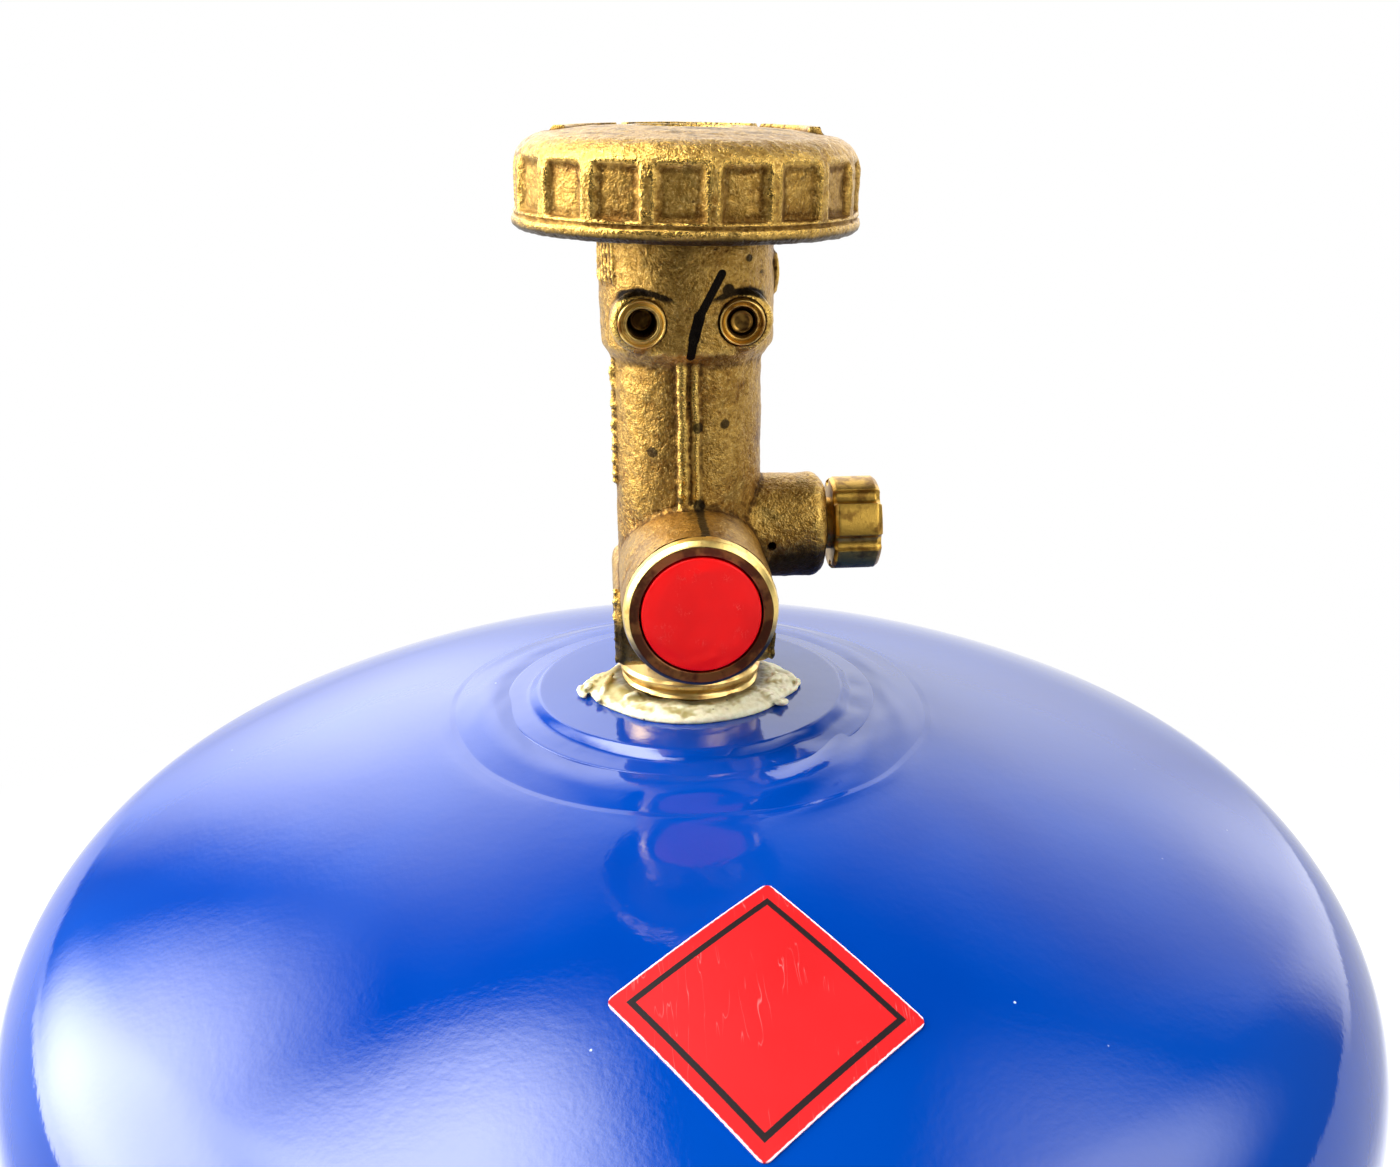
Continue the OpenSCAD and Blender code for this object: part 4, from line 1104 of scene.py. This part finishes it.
def valve_body():
    """The casting with its bosses, and then the bores that are machined into it."""
    block = BLOCK_HALF
    fine, coarse = {"step": 0.2, "straight": 2.0}, {"step": 0.3, "straight": 2.0}
    column = [
        (0, 10.2), (14.9, 10.2), (COLUMN_R, 10.8), (COLUMN_R, 72.6, 2.2), (17.4, 75.6, 2.0),
        (COLLAR_R, COLLAR_TOP, 0.6), (0, COLLAR_TOP),
    ]
    outlet_boss = [(0, 0), (COLUMN_R, 0), (COLUMN_R, 35.9, 0.4), (0, 35.9)]
    bleed_boss = [(0, 4), (11, 4), (11, 28.5, 3), (0, 28.5)]
    relief_boss = [(0, 4), (12.5, 4), (12.5, 36, 0.8), (0, 36)]
    pin_boss = [(0, 4), (6.1, 4), (6.1, 15.4, 1.8), (0, 16.1)]
    parts = [
        solid(column, 128, **coarse),
        box_mesh((-block, -block, BLOCK_LOW), (block, block, BLOCK_TOP), 2.4),
        solid(outlet_boss, 128, TO_FRONT, **fine),
        solid(bleed_boss, 96, TO_RIGHT, **coarse),
        solid(relief_boss, 96, TO_BACK, **coarse),
    ]
    for x in (-PIN_X, PIN_X):
        parts.append(solid(pin_boss, 64, to_pin(x), step=0.3, straight=1.5))
    obj = joined("valve_casting", parts + casting_flash(random.Random(11)))
    modified(obj, "REMESH", mode="VOXEL", voxel_size=0.34)
    modified(obj, "SMOOTH", factor=0.5, iterations=4)
    largest_shell(obj)
    # The machined faces at the front and on top stay smooth.
    roughened(
        obj, [(9, 0.22), (3.0, 0.16), (1.1, 0.09)],
        keep=lambda co: ramp(co[:, 1], -35.4, 1.5) * ramp(co[:, 2], 98.6, -2),
    )
    edge_wear_and_hollow_shade(obj, 6)
    outlet = [
        (0, 10), (4.5, 10), (9.5, 17.5), (10.5, 17.5), (10.5, 29), (11.9, 29), (11.9, 33), (14, 33),
        (14, 40), (0, 40),
    ]
    bleed = [
        (0, 14.8), (3.6, 14.8), (3.6, 19.5), (4.8, 19.5), (4.8, 26.5), (6.2, 28), (6.2, 40),
        (0, 40),
    ]
    relief = [(0, 14), (8, 14), (8, 26.9), (8.6, 26.9), (8.6, 50), (0, 50)]
    bonnet = [(0, 26), (7, 26), (7, 48), (9.6, 48), (9.6, 66), (12.05, 66), (12.05, 110), (0, 110)]
    weep = Matrix.Translation((16.5, 0, BLEED_Z)) @ Matrix.Rotation(math.radians(97), 4, "X")
    pin_bores = [
        cylinder(r, start, 30, to_pin(x))
        for x in (-PIN_X, PIN_X) for r, start in ((4.75, 15.0), (2.75, -12))
    ]
    cut(
        obj,
        cylinder(40, CAST_REACH, 60, TO_FRONT, 128),
        solid(outlet, 128, TO_FRONT),
        solid(bleed, 64, TO_RIGHT),
        solid(relief, 96, TO_BACK),
        cylinder(0.9, 2, 30, weep, 32),
        solid(bonnet, 96),
        *pin_bores,
    )
    obj.data.polygons.foreach_set("material_index", [0] * len(obj.data.polygons))
    finish_piece(obj, "tank", ["valve_body"], ON_VALVE, [casting_metal], sharp=48)


def outlet_nose():
    """The turned end of the outlet: a bright chamfer round a browned face."""
    section = rounded(
        [(10.6, 28.6), (11.9, 29.0), (11.9, 35.8, 0.2), (13.8, 36.0, 0.12), (14.7, 35.0, 0.2),
         (15.0, 33.9, 0.3), (15.0, 33.2), (14.2, 33.2), (14.2, 30), (10.6, 30)],
        step=0.08, straight=0.5,
    )
    chamfer_r = 13.75
    wave = waves(71, 3, 14)

    def worn(r, a, z):
        rim = ramp(r, 12.9, 0.6) * ramp(z, CAST_REACH, 1)
        return r + rim * 0.06 * wave(a), z + rim * 0.05 * wave(a + 2)

    obj = joined("valve_outlet_nose", [revolve(section, 256, shape=worn)])
    middles = [face.center for face in obj.data.polygons]
    bright = [int(math.hypot(c.x, c.y) > chamfer_r) for c in middles]
    obj.data.polygons.foreach_set("material_index", bright)
    metals = [outlet_metal, edge_metal]
    finish_piece(obj, "tank", ["valve_body"], ON_VALVE @ TO_FRONT, metals, sharp=30)


def pin_rings():
    """Peened rings round the two bores that hold the locking pins, and the pins' ends."""
    bore_r, pin_r = 4.65, 2.6
    left = [
        (2.8, 11), (2.8, 16.2, 0.2), (3.05, 16.75, 0.15), (3.5, 16.75, 0.2), (3.75, 16.2, 0.3),
        (4.05, 16.5, 0.2), (4.4, 17.0, 0.2), (bore_r, 16.6, 0.2),
    ]
    right = [
        (3.0, 11), (3.0, 16.0, 0.2), (3.2, 16.3, 0.12), (3.45, 16.0, 0.15), (3.6, 15.5, 0.2),
        (3.8, 15.9, 0.15), (4.05, 16.9, 0.12), (4.3, 16.8, 0.15), (4.5, 16.0, 0.3),
    ]
    ends = []
    for name, x, top, reach in (("left", -PIN_X, left, 11.0), ("right", PIN_X, right, 15.4)):
        section = rounded(top + [(bore_r, 14.8), (bore_r, 11)], step=0.06, straight=0.6)
        obj = joined(f"valve_pin_ring_{name}", [revolve(section, 96)])
        place = ON_VALVE @ to_pin(x)
        finish_piece(obj, "tank", ["valve_body"], place, [pin_metal], sharp=40)
        corners = [
            (0, reach - 21), (pin_r, reach - 21, 0.3), (pin_r, reach - 2.4, 0.2),
            (2.12, reach - 2.2, 0.1), (2.12, reach, 0.12), (1.8, reach, 0.1),
            (1.5, reach - 0.25, 0.2), (0, reach - 0.2),
        ]
        ends.append(solid(corners, 64, to_pin(x), step=0.06, straight=0.6))
    obj = joined("valve_locking_pins", ends)
    finish_piece(obj, "tank", ["locking_pins"], ON_VALVE, [pin_end_metal], sharp=40)


def tail():
    """The tapered tail, the lip of its thread and the flange above it."""
    section = rounded(
        [(4.5, -25), (12.5, -25, 0.4), (14.2, 0.2), (14.35, 3.4, 0.2), (15.2, 4.2, 0.25),
         (15.35, 5.2, 0.4), (14.75, 5.9, 0.3), (14.75, 10.8), (4.5, 10.8)],
        step=0.15, straight=0.2,
    )
    pitch = 1.81

    def thread(r, a, z):
        turn = (a + math.radians(150)) % math.tau / math.tau
        crest = np.clip(1 - np.abs((z / pitch + turn) % 1 - 0.5) * 2.6, 0, 1)
        below = np.where((r > 12.3) & (z < 3.3), 0.62 * crest, 0)
        lip = ramp(z, 3.2, 0.6) * ramp(z, 7.2, -1.4) * (r > 14)
        return r + below, z + lip * 0.45 * np.sin(a + math.radians(200))

    obj = joined("valve_tail", [revolve(section, 256, shape=thread)])
    finish_piece(obj, "tank", ["valve_body"], ON_VALVE, [flange_metal], sharp=50)


valve_body()
outlet_nose()
pin_rings()
tail()

# ---------------------------------------------------------------- outlet plug


def outlet_plug():
    """The plastic plug: a slightly sunken face, a rim and a skirt with a bead."""
    corners = [
        (0, 34.2), (9.95, 34.2), (9.95, 30.0, 0.3), (11.0, 30.0, 0.3), (11.0, 31.2),
        (11.4, 31.2, 0.15), (11.45, 32.2, 0.15), (11.5, 34.1), (11.5, 36.0, 0.5), (9, 36.28),
        (0, 36.32),
    ]
    wave = waves(81, 2, 9)

    def sag(r, a, z):
        face = ramp(z, 35.5, 0.5) * ramp(r, 0, 11)
        return r, z + face * 0.07 * wave(a + r * 0.25)

    obj = joined("outlet_red_plug", [solid(corners, 192, shape=sag, step=0.12, straight=0.4)])
    place = ON_VALVE @ TO_FRONT
    finish_piece(obj, "plug", ["outlet_plug"], place, [plug_plastic], sharp=45)


outlet_plug()

# ---------------------------------------------------------------- bleed screw


def bleed_knob():
    """A knob with six deep grooves, on its threaded screw."""
    start, end, core_r, groove_r, depth = 30.0, 40.0, 7.6, 1.75, 1.5
    knob = [
        (0, start), (9.4, start, 0.5), (10, start + 0.7, 0.4), (10, end - 1.0, 0.3),
        (9.2, end, 0.4), (0, end),
    ]
    screw = [
        (0, 17.2), (2.3, 17.2, 0.3), (2.3, 20), (4.6, 20, 0.4), (4.6, 28.7), (5.5, 28.9, 0.2),
        (5.5, 30.4), (0, 30.4),
    ]
    grooves = [math.radians(g) for g in (50, -10, -70, -130, 170, 110)]

    def grooved(r, a, z):
        sunk = np.zeros_like(r)
        for groove in grooves:
            away = apart(-a, groove) * 10
            sunk = np.maximum(sunk, depth * np.sqrt(np.clip(1 - (away / groove_r) ** 2, 0, 1)))
        flat = 0.22 * np.cos(-a * 6 - math.radians(300))
        sunk = sunk * ramp(r, core_r, 1.6)
        return np.where(r > core_r, r - sunk - 0.12 + flat * 0.5, r), z

    obj = joined("bleed_knob", [
        solid(knob, 360, shape=grooved, step=0.12, straight=0.5),
        solid(screw, 96, step=0.1, straight=0.5),
    ])
    place = ON_VALVE @ TO_RIGHT
    finish_piece(obj, "bleed", ["bleed_screw"], place, [knob_metal], sharp=28)


bleed_knob()


def relief_spring():
    """The coil under the relief poppet, copied from the CAD model's mesh."""
    low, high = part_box("relief_spring")
    lift = next(j for j in frame["joints"] if j["name"] == "relief_lift")
    travel = lift["range_m"][1]
    obj = linked("relief_coil", frame["nodes"]["relief_spring"].data.copy())
    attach(obj, "tank")
    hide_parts("relief_spring")
    1 - travel / (high.y - low.y)
    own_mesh(obj)


relief_spring()

# ---------------------------------------------------------------- hand wheel


def hand_wheel():
    """A cast cap wheel: a domed top, eighteen ribs, a rim band and plain raised arcs."""
    ribs, first, rib_half, flank = 18, math.radians(-85.5), 2.75, 1.95
    sill, lintel, depth = 101.35, 112.0, 1.25
    arcs = [(math.radians(a), math.radians(half)) for a, half in ((23, 25), (85, 34), (149, 26))]
    arc_r, arc_half, arc_top = 25, 1.62, 117.15
    summit, dome_r, wall_r = 117.3, 243.0, 33.9

    def dome(r):
        return summit - r * r / (2 * dome_r)

    section = rounded(
        [(29.7, 97.7), (30.4, 97.6, 0.3), (32.9, 97.6, 0.6), (34.1, 98.5, 1.0), (34.3, 99.5, 0.5),
         (34.15, 100.1, 0.25), (33.7, 100.4, 0.15), (33.7, 100.8, 0.15), (34.0, 101.0, 0.15),
         (wall_r, 101.6, 0.2), (wall_r, dome(wall_r) - 0.3, 6.6), (20, dome(20)),
         (10.7, dome(10.7), 0.6), (10.0, 111.5, 0.4), (3.1, 111.5), (3.1, 103.2),
         (12.9, 103.2, 0.6), (12.9, 110.8, 1.2), (28.6, 110.9, 2.5), (29.9, 108.5, 2.5)],
        step=0.3, straight=0.45,
    )
    wave, sway = waves(91, 2, 9), waves(92, 5, 17)

    def cast(r, a, z):
        """Sinks the windows between the ribs, and raises the arcs on the top."""
        turn = (a - first) * ribs / math.tau
        near = np.abs(turn - np.round(turn)) * math.tau / ribs * 33.6 + 0.12 * sway(a * 3 + z * 0.2)
        rib = eased(ramp(near, rib_half, -flank))
        window = eased(ramp(z, sill, 0.5) * ramp(z, lintel, -2.0))
        press = np.where((r > 31.4) & (z > 101.3), depth * (1 - rib) * window, 0)
        lift = np.zeros_like(r)
        for middle, half in arcs:
            ends = np.clip((half - apart(a, middle)) * arc_r / 0.6, 0, 1)
            lift = np.maximum(lift, ends * ramp(np.abs(r - arc_r), arc_half, -0.5))
        lift = np.where(z > 114.0, lift * np.maximum(arc_top - z, 0), 0)
        uneven = 0.10 * wave(a + z * 0.05) + 0.05 * sway(a - z * 0.2)
        return r - press + ramp(r, 20, 10) * (uneven - 0.12) * 0.8, z + lift

    obj = joined("hand_wheel", [revolve(section, 900, shape=cast)])
    roughened(
        obj, [(2.4, 0.13), (0.9, 0.08)],
        keep=lambda co: ramp(np.hypot(co[:, 0], co[:, 1]), 9, 4),
    )
    edge_wear_and_hollow_shade(obj, 14)
    middle = Matrix.Translation((0, 0, 99.4))
    lean = Matrix.Rotation(math.radians(WHEEL_LEAN), 4, "Y")
    obj.data.transform(middle @ lean @ middle.inverted())
    co = of_points(obj, "co")
    highest = (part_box("handwheel")[1].z - VALVE_Z) * 1000
    co[:, 2] = np.minimum(co[:, 2], highest)
    move_points(obj, co)
    finish_piece(obj, "wheel", ["handwheel"], ON_VALVE, [wheel_metal], sharp=60)


hand_wheel()

# ---------------------------------------------------------------- stage, light and camera

LOOK_AT = Vector((0, 0, 0.46))
LAMP_DISTANCE = 4.0


def from_angles(azimuth, elevation):
    """Direction from the object: azimuth from the front towards +X, in degrees."""
    a, e = math.radians(azimuth), math.radians(elevation)
    return Vector((math.sin(a) * math.cos(e), -math.cos(a) * math.cos(e), math.sin(e)))


def softbox(name, azimuth, elevation, width, height, radiance, edge=0.4):
    """An area lamp that spans width by height degrees and fades towards its edges."""
    size = [2 * LAMP_DISTANCE * math.tan(math.radians(s / 2)) for s in (width, height)]
    lamp = bpy.data.lights.new(name, "AREA")
    lamp.shape = "RECTANGLE"
    lamp.size, lamp.size_y = size
    lamp.energy = radiance * size[0] * size[1] * math.pi
    lamp.use_nodes = True
    tree = Tree(lamp.node_tree)
    across, along, _ = tree.split(tree.node("ShaderNodeNewGeometry").outputs["Parametric"])
    fades = [side.math("PINGPONG", 0.5).between(0, edge) for side in (across, along)]
    tree.set(lamp.node_tree.nodes["Emission"].inputs["Strength"], fades[0] * fades[1])
    obj = linked(name, lamp)
    obj.location = LOOK_AT + from_angles(azimuth, elevation) * LAMP_DISTANCE
    obj.rotation_euler = (LOOK_AT - obj.location).to_track_quat("-Z", "Y").to_euler()
    obj.visible_camera = False


softbox("lamp_back", 158, 28, 80, 68, 1.5, edge=0.45)
softbox("lamp_back_right", 124, 2, 38, 46, 1.5)
softbox("lamp_back_left", 200, 28, 46, 74, 2.9, edge=0.45)
softbox("lamp_left_low", -100, 21, 64, 74, 12.0)
softbox("lamp_left_high", -80, 63.5, 46, 51, 14.5)
softbox("lamp_right", 75, 40, 50, 62, 4.2, edge=0.45)
softbox("lamp_front_left", -62, 36, 34, 50, 1.3)
softbox("lamp_front_right", 37, 21, 40, 62, 3.8)


def camera():
    """The camera fitted to the photograph, by its place and three angles."""
    data = bpy.data.cameras.new("camera")
    data.lens, data.sensor_width, data.clip_start = 35.78, 36, 0.02
    forward, roll = -from_angles(-4.17, 19.59), math.radians(-0.375)
    right = forward.cross(Vector((0, 0, 1))).normalized()
    side = right * math.cos(roll) + right.cross(forward) * math.sin(roll)
    place = Matrix((side, side.cross(forward), -forward)).transposed().to_4x4()
    place.translation = (-0.01824, -0.28224, APEX_Z + 0.1232)
    obj = linked("camera", data)
    obj.matrix_world = place
    bpy.context.scene.camera = obj


def floor():
    """A pale floor that keeps the object's shadow and turns white further off."""
    rings = [0, 100, 200, 350, 500, 700, 1000, 1500, 2500, 4000, 7000, 12000]
    mesh = revolve([(r, 0) for r in rings], 96, MM, closed=False)
    mesh.flip_normals()
    obj = joined("floor", [mesh])
    g = Graph("floor")
    matt = g.node("ShaderNodeBsdfPrincipled", {
        "Base Color": (0.8, 0.8, 0.8), "Roughness": 0.7, "Specular IOR Level": 0.2,
    }).outputs[0]
    lit = g.node("ShaderNodeAddShader", {0: matt, 1: g.emission(0.7)}).outputs[0]
    camera_ray, mirror_ray = g.rays()
    dark_front = g.toward(g.place, from_angles(0, 0), (0.55, 0.85), to=(1.0, 0.06))
    white = g.emission(camera_ray.most(dark_front))
    away = Value(g, g.vector("LENGTH", g.place)["Value"])
    shown = g.blend(away.between(350, 1000), lit, white)
    end = g.blend(camera_ray.most(mirror_ray), matt, shown)
    g.node("ShaderNodeOutputMaterial", {"Surface": end})
    obj.data.materials.append(g.material)


def world():
    """White to the camera; in reflections a white wall at the back under a dark ceiling."""
    made = bpy.data.worlds.new("world")
    bpy.context.scene.world = made
    made.use_nodes = True
    tree = Tree(made.node_tree)
    tree.node_tree.nodes.clear()
    soft = tree.background((0.92, 0.96, 1.0), 0.32)
    white = tree.background((1, 1, 1), 1)
    way = tree.node("ShaderNodeTexCoord").outputs["Generated"]
    wall = tree.toward(way, from_angles(165, 0), (0.56, 0.70), to=(0.1, 1.0))
    ceiling = tree.split(way)[2].between(0.35, 0.8, to=(1.0, 0.0))
    mirrored = tree.background((1, 1, 1), wall * ceiling)
    camera_ray, mirror_ray = tree.rays()
    end = tree.blend(camera_ray, tree.blend(mirror_ray, soft, mirrored), white)
    tree.node("ShaderNodeOutputWorld", {"Surface": end})


camera()
floor()
world()
bpy.context.scene.view_settings.view_transform = "Standard"
